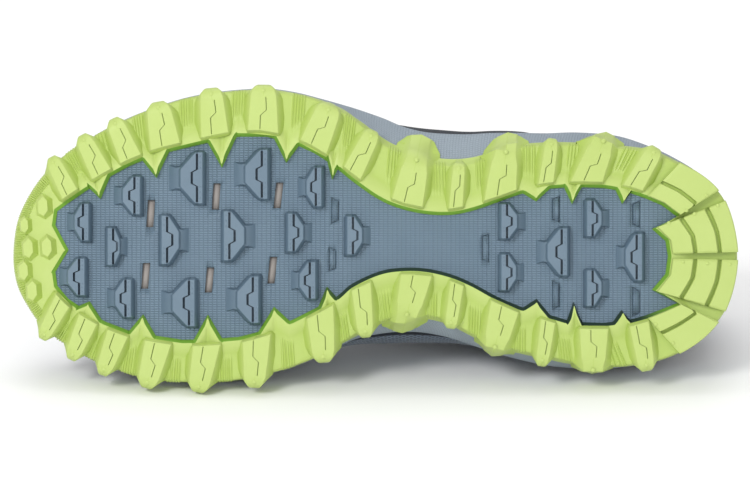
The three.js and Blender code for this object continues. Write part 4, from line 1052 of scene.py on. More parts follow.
@dataclass(frozen=True)
class OutsoleCentre:
    """The blue-grey web with its windows and recesses, and its trapezoid lugs. In mm."""

    form: Form
    window_width: float = 2.9
    recess: float = 0.45
    recess_line: float = 0.45
    lug_top: float = 0.8
    lug_foot: float = 6.1
    groove_place: float = 3.3
    sipe: float = 0.4
    sipe_depth: float = 2.4

    def plate(self) -> Surface:
        """The web: lines from side to side, below and above, at each place along the sole."""
        form = self.form
        rows = np.linspace(0.02, form.half - 0.02, 129)
        left = form.inset(form.outer, rows, 10.3)
        right = form.inset(form.outer, form.around - rows, 10.3)
        share = np.linspace(0, 1, 13)[None, :, None]
        line = mix(left[:, None], right[:, None], share)
        below = form.raised(line, form.web_top)
        above = form.raised(line[:, ::-1], form.rim_top)
        return sweep(np.concatenate([below, above], axis=1))

    def prism(self, corners: Array, low: float, high: float) -> Surface:
        """An upright body of an outline in plan between two heights."""
        return sweep(np.array([self.form.raised(corners, low), self.form.raised(corners, high)]))

    def window(self, row: Sequence[float], grow: float = 0.0) -> Array:
        """Corners of a window in plan, leaning a little along the shoe."""
        u, v, tall, lean = row
        middle = self.form.plan(u, v)
        half, shift = tall * self.form.ball_width / 2 - grow, lean * self.form.ball_width / 2
        wide = self.window_width / 2 - grow
        corners = np.array([[-1, 1], [1, 1], [1, -1], [-1, -1]], float)
        return middle + np.stack([corners[:, 0] * wide + corners[:, 1] * shift,
                                  corners[:, 1] * half], -1)

    def outline_recess(self, row: Sequence[float]) -> tuple[Array, Array]:
        """Outer and inner corners in plan of a shallow groove drawn round a slanted slot."""
        u, low, high, wide, slant = row
        x = u * self.form.length
        y0, y1 = low * self.form.ball_width, high * self.form.ball_width
        outer = np.array([[x - wide / 2, y1 - max(slant, 0)], [x + wide / 2, y1 + min(slant, 0)],
                          [x + wide / 2, y0 - min(slant, 0)], [x - wide / 2, y0 + max(slant, 0)]])
        centre = outer.mean(0)
        shrink = 1 - 2 * self.recess_line / np.array([wide, y1 - y0])
        return outer, centre + (outer - centre) * shrink

    def stem(self, row: Sequence[float]) -> Surface:
        """The low ramp that runs from a lug's short side down to the web, flaring at its foot."""
        u, v, long, reach, facing = row
        middle = self.form.plan(u, v)
        half, far = long * self.form.ball_width / 2, reach * self.form.ball_width
        rings = []
        for x, w, z, w_base in ((0.5, 0.4, 2.0, 0.46), (0.68, 0.38, 2.3, 0.46),
                                (0.8, 0.36, 3.0, 0.44), (0.92, 0.4, 4.5, 0.48),
                                (0.99, 0.45, 5.3, 0.52), (1.03, 0.48, 5.8, 0.54)):
            y = np.array([-w_base, -w, w, w_base]) * half
            plan = np.stack([middle[0] + facing * far * x + 0 * y, middle[1] + y], -1)
            rings.append(self.form.raised(plan, np.array([self.lug_foot, z, z, self.lug_foot])))
        made = sweep(np.array(rings))
        # Painted shade at the ramp's feet
        made.values["valley"] = np.tile([1.0, 0.25, 0.25, 1.0], len(rings))
        return made

    def lug(self, row: Sequence[float]) -> list[Surface]:
        """One centre lug: sections along its long side, with a groove that steps aside mid-way.

        The top is a trapezoid, whose far edge falls off in a straight line towards both ends.

        Args:
            row: a row of CENTRE_LUGS.

        Returns:
            The lug, its stem and the small dots on its long side.
        """
        form = self.form
        u, v, long, reach, facing = row
        middle = form.plan(u, v)
        half, far = long * form.ball_width / 2, reach * form.ball_width
        top, near = self.lug_top, self.groove_place
        rings, dots = [], []
        spots = [(-half, 0, 0, 1), (-half + 1.1, 1, 0, 1), (-half * 0.86, 1, 0, 1),
                 (-half * 0.84, 1, 1, 1), (-half * 0.3, 1, 1, 1), (-half * 0.2, 1, 1, 2),
                 (half * 0.2, 1, 1, 2), (half * 0.3, 1, 1, 1), (half * 0.84, 1, 1, 1),
                 (half * 0.86, 1, 0, 1), (half - 1.1, 1, 0, 1), (half, 0, 0, 1)]
        for y, stands, groove, jog in spots:
            share = np.clip((abs(y) / half - 0.45) / 0.47, 0, 1)
            edge = mix(far * 0.7, near + 0.5, share)
            foot = mix(far * 0.82, near + 1.1, np.clip((abs(y) / half - 0.5) / 0.5, 0, 1))
            x = min(near + (0.0 if jog == 1 else min(0.16 * far + 0.2, 2.1)), edge - 0.75)
            xs = np.array([-0.5, 0.75, 1.2, x - self.sipe - 0.06, x - self.sipe,
                           x + self.sipe, x + self.sipe + 0.06, edge - 0.4, edge, foot])
            floor = top + groove * self.sipe_depth
            zs = np.array([self.lug_foot, top + 0.5, top, top, floor, floor, top, top,
                           top + 0.45, self.lug_foot])
            if not stands:
                zs = np.full(len(zs), 5.9)
            plan = np.stack([middle[0] + facing * xs, middle[1] + y + 0 * xs], -1)
            rings.append(form.raised(plan, zs))
        for y in (-0.72, -0.5, -0.32, 0.36, 0.55, 0.76):
            spot = form.raised(middle + np.array([facing * (0.5 * near + 0.35), y * half]), top)
            dots.append(dome(spot, DOWN, 0.3, 0.16))
        body = sweep(np.array(rings))
        # Painted shade on the foot, on the lower bevel and in the sipe
        body.values["valley"] = np.tile([1.0, 0.4, 0, 0, 1, 1, 0, 0, 0.4, 1.0], len(rings))
        return [body, self.stem(row), *dots]

    def build(self, finish: "RubberFinish", plain: "RubberFinish",
              warm: "FoamFinish") -> list[bpy.types.Object]:
        """Makes the web, the lugs and the plates that show through the windows.

        Args:
            finish: the blue-grey rubber of the web.
            plain: the same rubber on the lugs, without the web's fine grid.
            warm: the foam behind the windows.

        Returns:
            The web, the lugs, the plates and the floors of the slots.
        """
        form = self.form
        rubber = finish.build("blue_grey_rubber")
        web = mesh_object("web", self.plate(), [rubber], 30)
        cuts = [self.prism(self.window(row), 4.0, 8.0) for row in WINDOWS]
        frames = [self.outline_recess(row) for row in RECESSES]
        cuts += [self.prism(outer, 5.0, form.web_top + self.recess) for outer, _ in frames]
        cutter = mesh_object("cutter", merged(cuts), [rubber], None)
        cut = web.modifiers.new("windows", "BOOLEAN")
        cut.operation, cut.solver, cut.object = "DIFFERENCE", "EXACT", cutter
        bpy.context.view_layer.update()
        graph = bpy.context.evaluated_depsgraph_get()
        solid = bpy.data.meshes.new_from_object(web.evaluated_get(graph))
        web.modifiers.clear()
        web.data = solid
        bpy.data.objects.remove(cutter)
        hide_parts("outsole_centre")
        parts = []
        for row in CENTRE_LUGS:
            parts += self.lug(row)
        islands = merged([self.prism(inner, form.web_top, form.web_top + self.recess + 0.3)
                          for _, inner in frames])
        floors = mesh_object("slot_floors", islands, [rubber], None)
        lugs = mesh_object("centre_lugs", merged(parts), [plain.build("lug_rubber")], 32)
        plates = [self.prism(self.window(row, -0.2), form.rim_top - 0.1, form.rim_top + 0.2)
                  for row in WINDOWS]
        behind = mesh_object("window_plates", merged(plates), [warm.build("warm_foam")], None)
        return [web, lugs, behind, floors]


def stack(rings: Array, across: int, sag: float = 0.0) -> Surface:
    """A closed body from closed rings stacked up, with lines from side to side as its ends.

    Args:
        rings: points, as (rings, points round, 3), place 0 at the heel and half way the toe.
        across: cells across each end.
        sag: how far the middle of the last end drops.

    Returns:
        The body, facing out.
    """
    count = rings.shape[1]
    half = count // 2
    closed = np.concatenate([rings, rings[:, :1]], axis=1)
    run, rise = travel(closed, 1), travel(closed)
    walls = lattice(len(rings), count + 1)
    share = np.linspace(0, 1, across + 1)[None, :, None]
    parts = [Surface(closed.reshape(-1, 3), walls, np.stack([run, rise], -1).reshape(-1, 2))]
    for ring, drop, flip in ((rings[0], 0.0, True), (rings[-1], sag, False)):
        i = np.arange(half + 1)
        cap = mix(ring[i][:, None], ring[(count - i) % count][:, None], share)
        depth = ease(2 * np.minimum(share, 1 - share)) * ease(np.minimum(i, half - i) / 16)[
            :, None, None]
        cap[..., 2] -= drop * depth[..., 0]
        faces = lattice(half + 1, across + 1)
        parts.append(Surface(cap.reshape(-1, 3), faces[:, ::-1] if flip else faces,
                             cap.reshape(-1, 3)[:, :2]))
    return merged(parts).facing_out()


@dataclass(frozen=True)
class Midsole:
    """The grey foam: arch, toe spring, waist flare and the lip round the footbed. In mm."""

    form: Form
    samples: int = 10
    skin: float = 2.0

    def surface(self) -> Surface:
        """Rings from the foam's foot up its side and over the lip down to the bed."""
        form = self.form
        place = np.arange(form.around * self.samples) / self.samples
        rim = form.rim_height(place)
        rings = [form.raised(form.inset(form.outer, place, self.skin + 0.6), form.rim_top + 0.3),
                 form.raised(form.side(place, rim, self.skin + 0.3), rim),
                 form.raised(form.side(place, rim + 0.9, 0.9), rim + 0.7),
                 form.raised(form.side(place, rim + 1.2, 0.4), rim + 1.2)]
        for t in (0.2, 0.45, 0.7, 0.9, 1.0):
            z = mix(rim + 1.2, form.foam_widest, t)
            rings.append(form.raised(form.side(place, z, 0.4 * (1 - t)), z))
        edge = form.edge_height(form.at(form.foam, place)[:, 0])
        for t in (0.25, 0.5, 0.8, 1.0):
            p = form.inset(form.foam, place, 0.5 * ease(t) - 0.25 * np.sin(np.pi * t))
            rings.append(form.raised(p, mix(form.foam_widest, edge - 1.4, t)))
        for depth, drop in ((0.7, 0.75), (1.05, 0.25), (1.6, 0.0), (3.2, 0.0), (3.6, 0.4),
                            (3.6, form.lip)):
            p = form.inset(form.foam, place, depth)
            rings.append(form.raised(p, form.edge_height(p[:, 0]) - drop))
        return stack(np.array(rings), 2)

    def build(self, finish: "FoamFinish") -> bpy.types.Object:
        """Makes the foam as one piece that stands for the CAD foam."""
        made = mesh_object("foam_midsole", self.surface(), [finish.build("grey_foam")], 50)
        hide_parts("midsole")
        return made


@dataclass(frozen=True)
class Upper:
    """The hollow textile shell and the overlays, stitches and eyelets on it. In mm."""

    form: Form
    samples: int = 7
    levels: int = 64
    overlay: float = 0.8
    eyelet: float = 2.0
    stitch: float = 2.3
    stitch_step: float = 3.6
    roll_end: float = 13.6

    def creases(self, row: Array, share: Array) -> Array:
        """Depth of the soft folds: troughs over the ball, where the foot bends, and a dent
        above the heel, each a bell curve across the fold, fading towards the sole.

        Args:
            row: rows of the outline.
            share: shares up the wall.

        Returns:
            How far the wall sinks, in mm; negative where it swells.
        """
        depth = 0.0 * row
        for at, lean, amount, wide in CREASES:
            line = at + lean * (1 - share)
            bell = np.exp(-((row - line) / wide) ** 2)
            swell = np.exp(-((row - line - 1.7 * wide) / wide) ** 2)
            depth = depth + amount * (bell - 0.5 * swell) * ease((share - 0.3) / 0.35)
        return depth * (1 - 0.5 * ease((share - 0.9) / 0.1))

    def outside(self, place: Array, share: Array, over: Array | float = 0.0) -> Array:
        """The wall's outside with its folds, moved out by a thickness."""
        row = self.form.row(place)
        normal = self.form.wall_normal(place, share)
        middle = (row >= THROAT_ROW) & (share > TOP_SHARE)
        normal[..., 1] = np.where(middle, 0.0, normal[..., 1])
        normal = unit(normal)
        moved = np.asarray(over) - self.creases(row, share)
        return self.form.upper_at(place, share) + normal * np.broadcast_to(
            moved, row.shape)[..., None]

    def eyelet_places(self) -> list[tuple[float, Side]]:
        """Row and side of every eyelet."""
        return [(row, side) for row in EYELET_ROWS for side in Side]

    def turned(self, row: float, side: Side) -> float:
        """Place round the foot of a row on a side."""
        return row if side is Side.LATERAL else self.form.around - row

    def shell(self) -> Surface:
        """Outer and inner wall joined along the feather line, the top edge and the eyelets.

        Both walls are lattices of places round the foot and shares up the wall. The inner
        one lies a wall's thickness inside. Cells within an eyelet are left out of both, and
        a strip joins the two walls wherever one cell has a neighbour left out.

        Returns:
            The closed shell; slot 1 is the lining.
        """
        form = self.form
        count = form.around * self.samples
        place = np.arange(count) / self.samples
        rise = WALL_SHARE * np.arange(1, self.levels) / (self.levels - 1)
        share = np.concatenate([[0.0, FEATHER_SHARE], FEATHER_SHARE + rise])
        P, S = np.meshgrid(place, share, indexing="ij")
        outer = self.outside(P, S)
        row = form.row(P)
        normal = form.wall_normal(P, S)
        normal[..., 1] = np.where((row >= THROAT_ROW) & (S > TOP_SHARE), 0.0, normal[..., 1])
        normal[..., 2] = np.where(S <= FEATHER_SHARE, 0.0, normal[..., 2])
        inner = outer - unit(normal) * form.wall
        levels = len(share)
        cells = lattice(count, levels).reshape(count - 1, levels - 1, 4)
        seam = np.stack([(count - 1) * levels + np.arange(levels - 1),
                         (count - 1) * levels + np.arange(1, levels),
                         np.arange(1, levels), np.arange(levels - 1)], -1)
        cells = np.concatenate([cells, seam[None]], axis=0)
        middle = outer.reshape(-1, 3)[cells].mean(2)
        keep = np.ones(cells.shape[:2], bool)
        for at, side in self.eyelet_places():
            hole = form.upper_at(self.turned(at, side), EYELET_UP)
            keep &= np.linalg.norm(middle - hole, axis=-1) > self.eyelet
        faces = cells[keep]
        offset = outer.size // 3
        borders = faces[:, [[0, 1], [1, 2], [2, 3], [3, 0]]].reshape(-1, 2)
        size = 2 * offset
        code = borders[:, 0] * size + borders[:, 1]
        back = borders[:, 1] * size + borders[:, 0]
        open_edges = borders[~np.isin(code, back)]
        x, y = open_edges.T
        closed_top = (x % levels == levels - 1) & (y % levels == levels - 1)
        rows = np.where(x // levels <= count // 2, x // levels, count - x // levels)
        other = np.where(y // levels <= count // 2, y // levels, count - y // levels)
        limit = THROAT_ROW * self.samples
        joined = closed_top & (rows >= limit) & (other >= limit)
        x, y = x[~joined], y[~joined]
        strip = np.stack([y, x, x + offset, y + offset], -1)
        run, rise = travel(outer), travel(outer, 1)
        run = np.broadcast_to(run[:, levels // 2][:, None], run.shape)
        chart = np.stack([run, rise], -1).reshape(-1, 2)
        made = Surface(np.concatenate([outer.reshape(-1, 3), inner.reshape(-1, 3)]),
                       np.concatenate([faces, faces[:, ::-1] + offset, strip]),
                       np.concatenate([chart, chart]))
        made.slots = np.concatenate([np.zeros(len(faces), int), np.ones(len(faces), int),
                                     np.zeros(len(strip), int)])
        return made.facing_out()

    def patch(self, first: float, last: float, low: Callable, high: Callable, thick: float,
              cells: int = 14, step: float = 0.2) -> Surface:
        """An overlay laid on the wall, with rounded edges.

        Args:
            first: place where it starts; below 0 it starts on the medial side of the heel.
            last: place where it ends.
            low: its lower edge's share up the wall, from the row.
            high: its upper edge's share.
            thick: how far it stands out.
            cells: cells up the wall.
            step: places from one line to the next.

        Returns:
            The overlay, closed just under the wall's outside.
        """
        form = self.form
        place = np.linspace(first, last, max(8, int((last - first) / step)))
        turn = np.mod(place, form.around)
        row = form.row(turn)
        a, b = low(row)[:, None], high(row)[:, None]
        t = np.concatenate([[0.0, 0.012], np.linspace(0.035, 0.965, cells), [0.988, 1.0]])[None]
        ends = np.minimum(place - first, last - place)
        swell = np.sqrt(np.clip(1 - (1 - np.clip(ends / 0.12, 0, 1)) ** 2, 0, 1))[:, None]
        edge = np.sqrt(np.clip(1 - (1 - np.clip(np.minimum(t, 1 - t) / 0.03, 0, 1)) ** 2, 0, 1))
        P = np.broadcast_to(turn[:, None], (len(turn), t.size))
        S = mix(a, b, t)
        top = self.outside(P, S, thick * swell * edge + 0.02)
        under = self.outside(P, S, -0.4)
        run = np.broadcast_to(place[:, None] * 11.0, S.shape)
        flat = np.stack([run, S * 105.0], -1)
        rings = np.concatenate([top, under[:, ::-1]], axis=1)
        return sweep(rings, np.concatenate([flat, flat[:, ::-1]], axis=1))

    def stitches(self, first: float, last: float, line: Callable, lift: float) -> Surface:
        """A row of stitches: small six-sided lozenges, thickest in the middle.

        Args:
            first: place where the row starts.
            last: place where it ends.
            line: share up the wall, from the row.
            lift: height over the wall.

        Returns:
            The stitches.
        """
        form = self.form
        place = np.linspace(first, last, 400)
        turn = np.mod(place, form.around)
        row = form.row(turn)
        points = self.outside(turn, line(row), lift)
        run = travel(points)
        starts = np.arange(0.5, run[-1] - self.stitch, self.stitch_step)

        def read(at: Array, of: Array) -> Array:
            """Values along the row at distances."""
            return np.stack([np.interp(at, run, of[:, k]) for k in range(3)], -1)

        normals = form.wall_normal(turn, line(row))
        turn_angle = np.arange(6) * np.pi / 3
        bodies = []
        for start in starts:
            at = start + self.stitch * np.array([0.0, 0.2, 0.8, 1.0])
            centre, normal = read(at, points), read(at, normals)
            along = unit(centre[-1] - centre[0])
            side = unit(np.cross(normal, along))
            size = np.array([0.12, 0.36, 0.36, 0.12])[:, None, None]
            ring = (np.cos(turn_angle)[None, :, None] * side[:, None]
                    + 0.8 * np.sin(turn_angle)[None, :, None] * normal[:, None])
            centre = centre + normal * np.array([-0.15, 0.1, 0.1, -0.15])[:, None]
            bodies.append(sweep(centre[:, None] + size * ring))
        return merged(bodies)

    def eyelet_ring(self, row: float, side: Side) -> Surface:
        """A ring set through the wall: a flat collar outside, a barrel, a collar inside."""
        form = self.form
        place = np.array(self.turned(row, side))
        share = np.array(EYELET_UP)
        centre = form.upper_at(place, share)
        axis = form.wall_normal(place, share)
        ring = circle(axis, [1.0, 0.2, 0.1], 28)
        over, under = self.overlay + 0.55, -form.wall - 0.5
        profile = [(2.0, over - 0.5), (2.3, over), (3.0, over + 0.05), (3.7, over - 0.15),
                   (3.9, over - 0.6), (2.9, over - 0.7), (2.5, under + 0.4), (3.4, under + 0.35),
                   (3.4, under), (2.3, under - 0.1), (2.0, under + 0.3)]
        rings = np.array([centre + r * ring + h * axis for r, h in profile])
        count, around = rings.shape[:2]
        closed = np.concatenate([rings, rings[:1]])
        return Surface(closed.reshape(-1, 3), lattice(count + 1, around, wrap=True),
                       closed.reshape(-1, 3)[:, :2]).facing_out()

    def collar_roll(self) -> Surface:
        """The padded roll of the collar: a flattened round section carried along the top edge
        from one side of the throat round the heel to the other, thinning at its ends.
        """
        form = self.form
        place = np.linspace(-self.roll_end, self.roll_end, 210)
        turn = np.mod(place, form.around)
        centre = self.outside(turn, np.ones_like(turn), -form.wall / 2)
        normal = form.wall_normal(turn, np.ones_like(turn))
        along = unit(np.gradient(centre, axis=0))
        up = unit(np.cross(along, normal))
        up = np.where(up[:, 2:] < 0, -up, up)
        inside = np.minimum(place + self.roll_end, self.roll_end - place)
        ends = ease(inside / 1.6)[:, None, None]
        angle = np.linspace(0, 2 * np.pi, 20, endpoint=False)
        wide = mix(1.9, 3.5, ends)
        tall = mix(1.2, 3.1, ends)
        ring = (np.cos(angle)[None, :, None] * normal[:, None] * wide
                + np.sin(angle)[None, :, None] * up[:, None] * tall)
        centre = centre - normal * 0.9 - up * 1.7
        run = np.broadcast_to((place * 10)[:, None], (len(place), 20))
        flat = np.stack([run, np.broadcast_to(angle[None] * 3.2, run.shape)], -1)
        return sweep(centre[:, None] + ring, flat)

    def build(self, knit: "TextileFinish", film: "FoamFinish", lining: "TextileFinish",
              thread: "FoamFinish", metal: "FoamFinish") -> list[bpy.types.Object]:
        """Makes the shell and what is laid on it.

        Args:
            knit: the outer textile.
            film: the overlays' smooth film.
            lining: the textile inside.
            thread: the stitches.
            metal: the eyelet rings.

        Returns:
            The shell, the overlays, the collar, the stitches and the eyelets.
        """
        inside = lining.build("lining_textile")
        shell = mesh_object("knit_shell", self.shell(), [knit.build("knit_textile"), inside], 60)
        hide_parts("upper")
        flat = lambda value: (lambda row: value + 0 * row)
        hem, brim = flat(0.072), flat(0.992)
        guard = lambda row: 0.13 + 0.25 * ease((row - 24.4) / 4.6)
        counter = lambda row: 0.6 - 0.4 * ease((row - 2.2) / 4.6)
        eyestay = lambda row: 0.805 + 0.05 * ease((row - 18.5) / 3.5)
        cuff = lambda row: 0.8 + 0.06 * ease((row - 9.0) / 4.0)
        lateral = lambda row: 0.12 + 0.27 * pulse(row, 10.5, 14.2, 2.2)
        medial = lambda row: 0.12 + 0.05 * pulse(row, 12.5, 18.5, 2.5)
        overlays = [
            self.patch(24.3, 39.7, hem, guard, self.overlay + 0.1, 18),
            self.patch(-7.0, 7.0, hem, counter, self.overlay, 22),
            self.patch(7.2, 24.1, hem, lateral, self.overlay - 0.2, 12),
            self.patch(39.9, 56.8, hem, medial, self.overlay - 0.2, 7),
            self.patch(12.6, 22.3, eyestay, brim, self.overlay - 0.1, 12),
            self.patch(41.7, 51.4, eyestay, brim, self.overlay - 0.1, 12),
        ]
        laid = mesh_object("overlays", merged(overlays), [film.build("navy_film")], 45)
        pads = [self.patch(-12.5, 12.5, cuff, flat(0.985), self.overlay + 0.25, 14),
                self.collar_roll()]
        collar = mesh_object("collar_pad", merged(pads), [inside], 60)
        rows = [
            self.stitches(24.6, 39.4, lambda row: guard(row) - 0.018, self.overlay + 0.1),
            self.stitches(-6.7, 6.7, lambda row: counter(row) - 0.018, self.overlay),
            self.stitches(12.8, 22.1, lambda row: eyestay(row) + 0.016, self.overlay - 0.1),
            self.stitches(41.9, 51.2, lambda row: eyestay(row) + 0.016, self.overlay - 0.1),
            self.stitches(-12.3, 12.3, lambda row: cuff(row) + 0.02, self.overlay + 0.25),
        ]
        sewn = mesh_object("stitches", merged(rows), [thread.build("thread")], 60)
        rings = [self.eyelet_ring(row, side) for row, side in self.eyelet_places()]
        eyelets = mesh_object("eyelets", merged(rings), [metal.build("eyelet_metal")], 50)
        return [shell, laid, collar, sewn, eyelets]


def resampled(grid: Array, rows: int, columns: int) -> Array:
    """A coarse lattice of points made finer by Catmull-Rom splines along both directions.

    Args:
        grid: points, as (rows, columns, 3).
        rows: rows wanted.
        columns: columns wanted.

    Returns:
        The finer lattice.
    """
    def along(points: Array, count: int) -> Array:
        """Splines through the first axis of the points."""
        last = len(points) - 1
        at = np.linspace(0, last, count)
        i = np.minimum(np.floor(at).astype(int), last - 1)
        t = (at - i).reshape(-1, *([1] * (points.ndim - 1)))
        a, b = points[np.maximum(i - 1, 0)], points[i]
        c, d = points[i + 1], points[np.minimum(i + 2, last)]
        return spline(a, b, c, d, t)

    fine = along(grid, rows)
    return np.swapaxes(along(np.swapaxes(fine, 0, 1), columns), 0, 1)


@dataclass(frozen=True)
class Footbed:
    """The insole, dished in the middle. In mm."""

    form: Form
    thick: float = 4.5

    def build(self, finish: "TextileFinish") -> bpy.types.Object:
        """Makes the insole as one piece that stands for the CAD insole."""
        form = self.form
        place = np.arange(form.around * 6) / 6
        rings = []
        for depth, rise in ((0.6, 0.3), (0.6, 2.4), (0.65, 3.3), (0.95, 4.1), (1.6, self.thick),
                            (3.0, self.thick + 0.05)):
            p = form.inset(form.foam, place, form.feather + form.wall + depth)
            bed = form.edge_height(p[:, 0]) - form.lip
            rings.append(form.raised(p, bed + rise))
        made = mesh_object("footbed", stack(np.array(rings), 24, 1.2),
                           [finish.build("footbed_textile")], 50)
        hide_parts("insole")
        return made


@dataclass(frozen=True)
class Tongue:
    """The padded tongue under the throat. In mm."""

    form: Form
    thick: float = 4.0
    rise: tuple[float, ...] = (8.0, 17.0, 25.0)
    rows: int = 84
    columns: int = 44
    cell: float = 1.6
    quilts: int = 11

    def line(self, row: float) -> Array:
        """Points across the tongue at a row: under one edge of the throat, over a low crown,
        under the other edge."""
        form = self.form
        closed = row >= THROAT_ROW
        share = np.array([0.72, 0.8, 0.88, 0.95] if closed else [0.8, 0.87, 0.94, 1.0])
        depth = form.wall + form.clear + (0.9 if closed else 0.15)

        def under(place: float) -> Array:
            """Points a depth under the wall's outside."""
            at = np.full(4, place)
            return form.upper_at(at, share) - form.wall_normal(at, share) * depth

        left, right = under(row), under(form.around - row)
        a, b = left[-1], right[-1]
        t = np.array([0.25, 0.5, 0.75])[:, None]
        middle = mix(a, b, t)
        crown = 0.0 if closed else 0.13 * float(np.linalg.norm(a - b))
        middle[:, 2] += crown * 4 * t[:, 0] * (1 - t[:, 0])
        return np.concatenate([left, middle, right[::-1]])

    def build(self, finish: "TextileFinish") -> bpy.types.Object:
        """Makes the tongue as one piece that stands for the CAD tongue."""
        lines = [self.line(row) for row in TONGUE_ROWS]
        last = lines[-1]
        for rise in self.rise:
            share = rise / self.rise[-1]
            q = last.copy()
            q[:, 1] = last[5, 1] + (last[:, 1] - last[5, 1]) * (0.73 - 0.04 * share)
            lines.append(q + np.array([-0.42 * rise, 0.0, 0.9 * rise]))
        rows, columns = self.rows, self.columns
        top = resampled(np.array(lines), rows, columns)
        normal = unit(np.cross(np.gradient(top, axis=0), np.gradient(top, axis=1)))
        normal *= np.sign(normal[40, columns // 2, 2])
        c = np.arange(columns) / (columns - 1) * 10
        r = np.arange(rows)
        edge = ease(np.minimum(c, 10 - c) / 3)[None, :]
        end = ease((rows - 1 - r) / 6)[:, None]
        swell = np.abs(np.sin(r / (rows - 1) * self.quilts * np.pi))[:, None]
        quilt = 0.35 * swell * edge * end
        thick = mix(1.6, self.thick, edge * mix(0.4, 1.0, end))
        round_off = 0.5 * (1 - ease(np.minimum(c, 10 - c) / 0.7))[None, :] * thick
        upper = top + normal * (quilt - 0.35 - round_off)[..., None]
        lower = top - normal * thick[..., None]
        u, v = np.meshgrid(r * self.cell, np.arange(columns) * self.cell, indexing="ij")
        flat = np.stack([u, v], -1)
        rings = np.concatenate([upper, lower[:, ::-1]], axis=1)
        made = mesh_object("padded_tongue",
                           sweep(rings, np.concatenate([flat, flat[:, ::-1]], axis=1)),
                           [finish.build("tongue_textile")], 60)
        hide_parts("tongue")
        return made


@dataclass(frozen=True)
class Laces:
    """Flat woven lace that crosses from eyelet to eyelet. In mm."""

    upper: Upper
    wide: float = 5.0
    thick: float = 1.4
    length_cells: int = 70
    around: int = 14

    def path(self, row: float, side: Side, to_row: float) -> Array:
        """A crossing: out of one eyelet, over the throat in a low arch, into the next one.

        Args:
            row: row of the first eyelet.
            side: its side.
            to_row: row of the eyelet on the other side.

        Returns:
            Points along the crossing.
        """
        form, upper = self.upper.form, self.upper
        other = Side.MEDIAL if side is Side.LATERAL else Side.LATERAL

        def above(at: float, on: Side, share: float, height: float) -> Array:
            """A point over the wall's outside."""
            place = np.array(upper.turned(at, on))
            normal = form.wall_normal(place, np.array(min(share, 0.96)))
            return form.upper_at(place, np.array(share)) + normal * height

        lie = upper.overlay + 0.3 + self.thick / 2
        climb = ((EYELET_UP, -2.6), (EYELET_UP + 0.004, 0.9), (EYELET_UP + 0.03, lie + 0.5),
                 (1.0, lie + 0.4))
        first = [above(row, side, *step) for step in climb]
        last = [above(to_row, other, *step) for step in reversed(climb)]
        c, d = first[-1], last[0]
        rise = 0.14 * float(np.linalg.norm(c - d)) + 1.5
        if side is Side.MEDIAL:
            rise += 1.1
        t = np.array([0.25, 0.5, 0.75])[:, None]
        bridge = mix(c, d, t)
        bridge[:, 2] += (4 * t * (1 - t))[:, 0] * rise
        return np.concatenate([first, bridge, last])

    def band(self, path: Array, shift: float) -> Surface:
        """The lace along a path: a flat oval section, bunched where it enters the eyelets.

        Args:
            path: points along it.
            shift: where its weave starts, so that no two bands look alike.

        Returns:
            The band.
        """
        cells = self.length_cells
        line = resampled(path[:, None], cells, 1)[:, 0]
        along = unit(np.gradient(line, axis=0))
        flat = unit(np.array([1.0, 0.0, -0.45]))
        wide = unit(flat - along * (along @ flat)[:, None])
        up = np.cross(wide, along)
        up = np.where(up[:, 2:] < 0, -up, up)
        count = np.arange(cells)
        end = ease(np.minimum(count, cells - 1 - count) / 15)[:, None, None]
        angle = np.linspace(0, 2 * np.pi, self.around, endpoint=False)
        a = np.sign(np.cos(angle)) * np.abs(np.cos(angle)) ** 0.7
        b = np.sign(np.sin(angle)) * np.abs(np.sin(angle)) ** 0.8
        half = mix(1.45, self.wide / 2, end)
        deep = mix(1.0, self.thick / 2, end)
        ring = a[None, :, None] * wide[:, None] * half + b[None, :, None] * up[:, None] * deep
        run = travel(line) + shift
        size = (cells, self.around)
        chart = np.stack([np.broadcast_to(run[:, None], size),
                          np.broadcast_to(a[None] * self.wide / 2, size)], -1)
        return sweep(line[:, None] + ring, chart)

    def build(self, finish: "TextileFinish") -> bpy.types.Object:
        """Makes every crossing as one piece that stands for the CAD laces."""
        rows = sorted(EYELET_ROWS, reverse=True)
        paths = [self.path(rows[0], Side.LATERAL, rows[0])]
        for a, b in zip(rows[:-1], rows[1:]):
            paths += [self.path(a, side, b) for side in Side]
        bands = [self.band(path, 17.3 * k) for k, path in enumerate(paths)]
        made = mesh_object("woven_laces", merged(bands), [finish.build("lace_weave")], 60)
        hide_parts("laces")
        return made


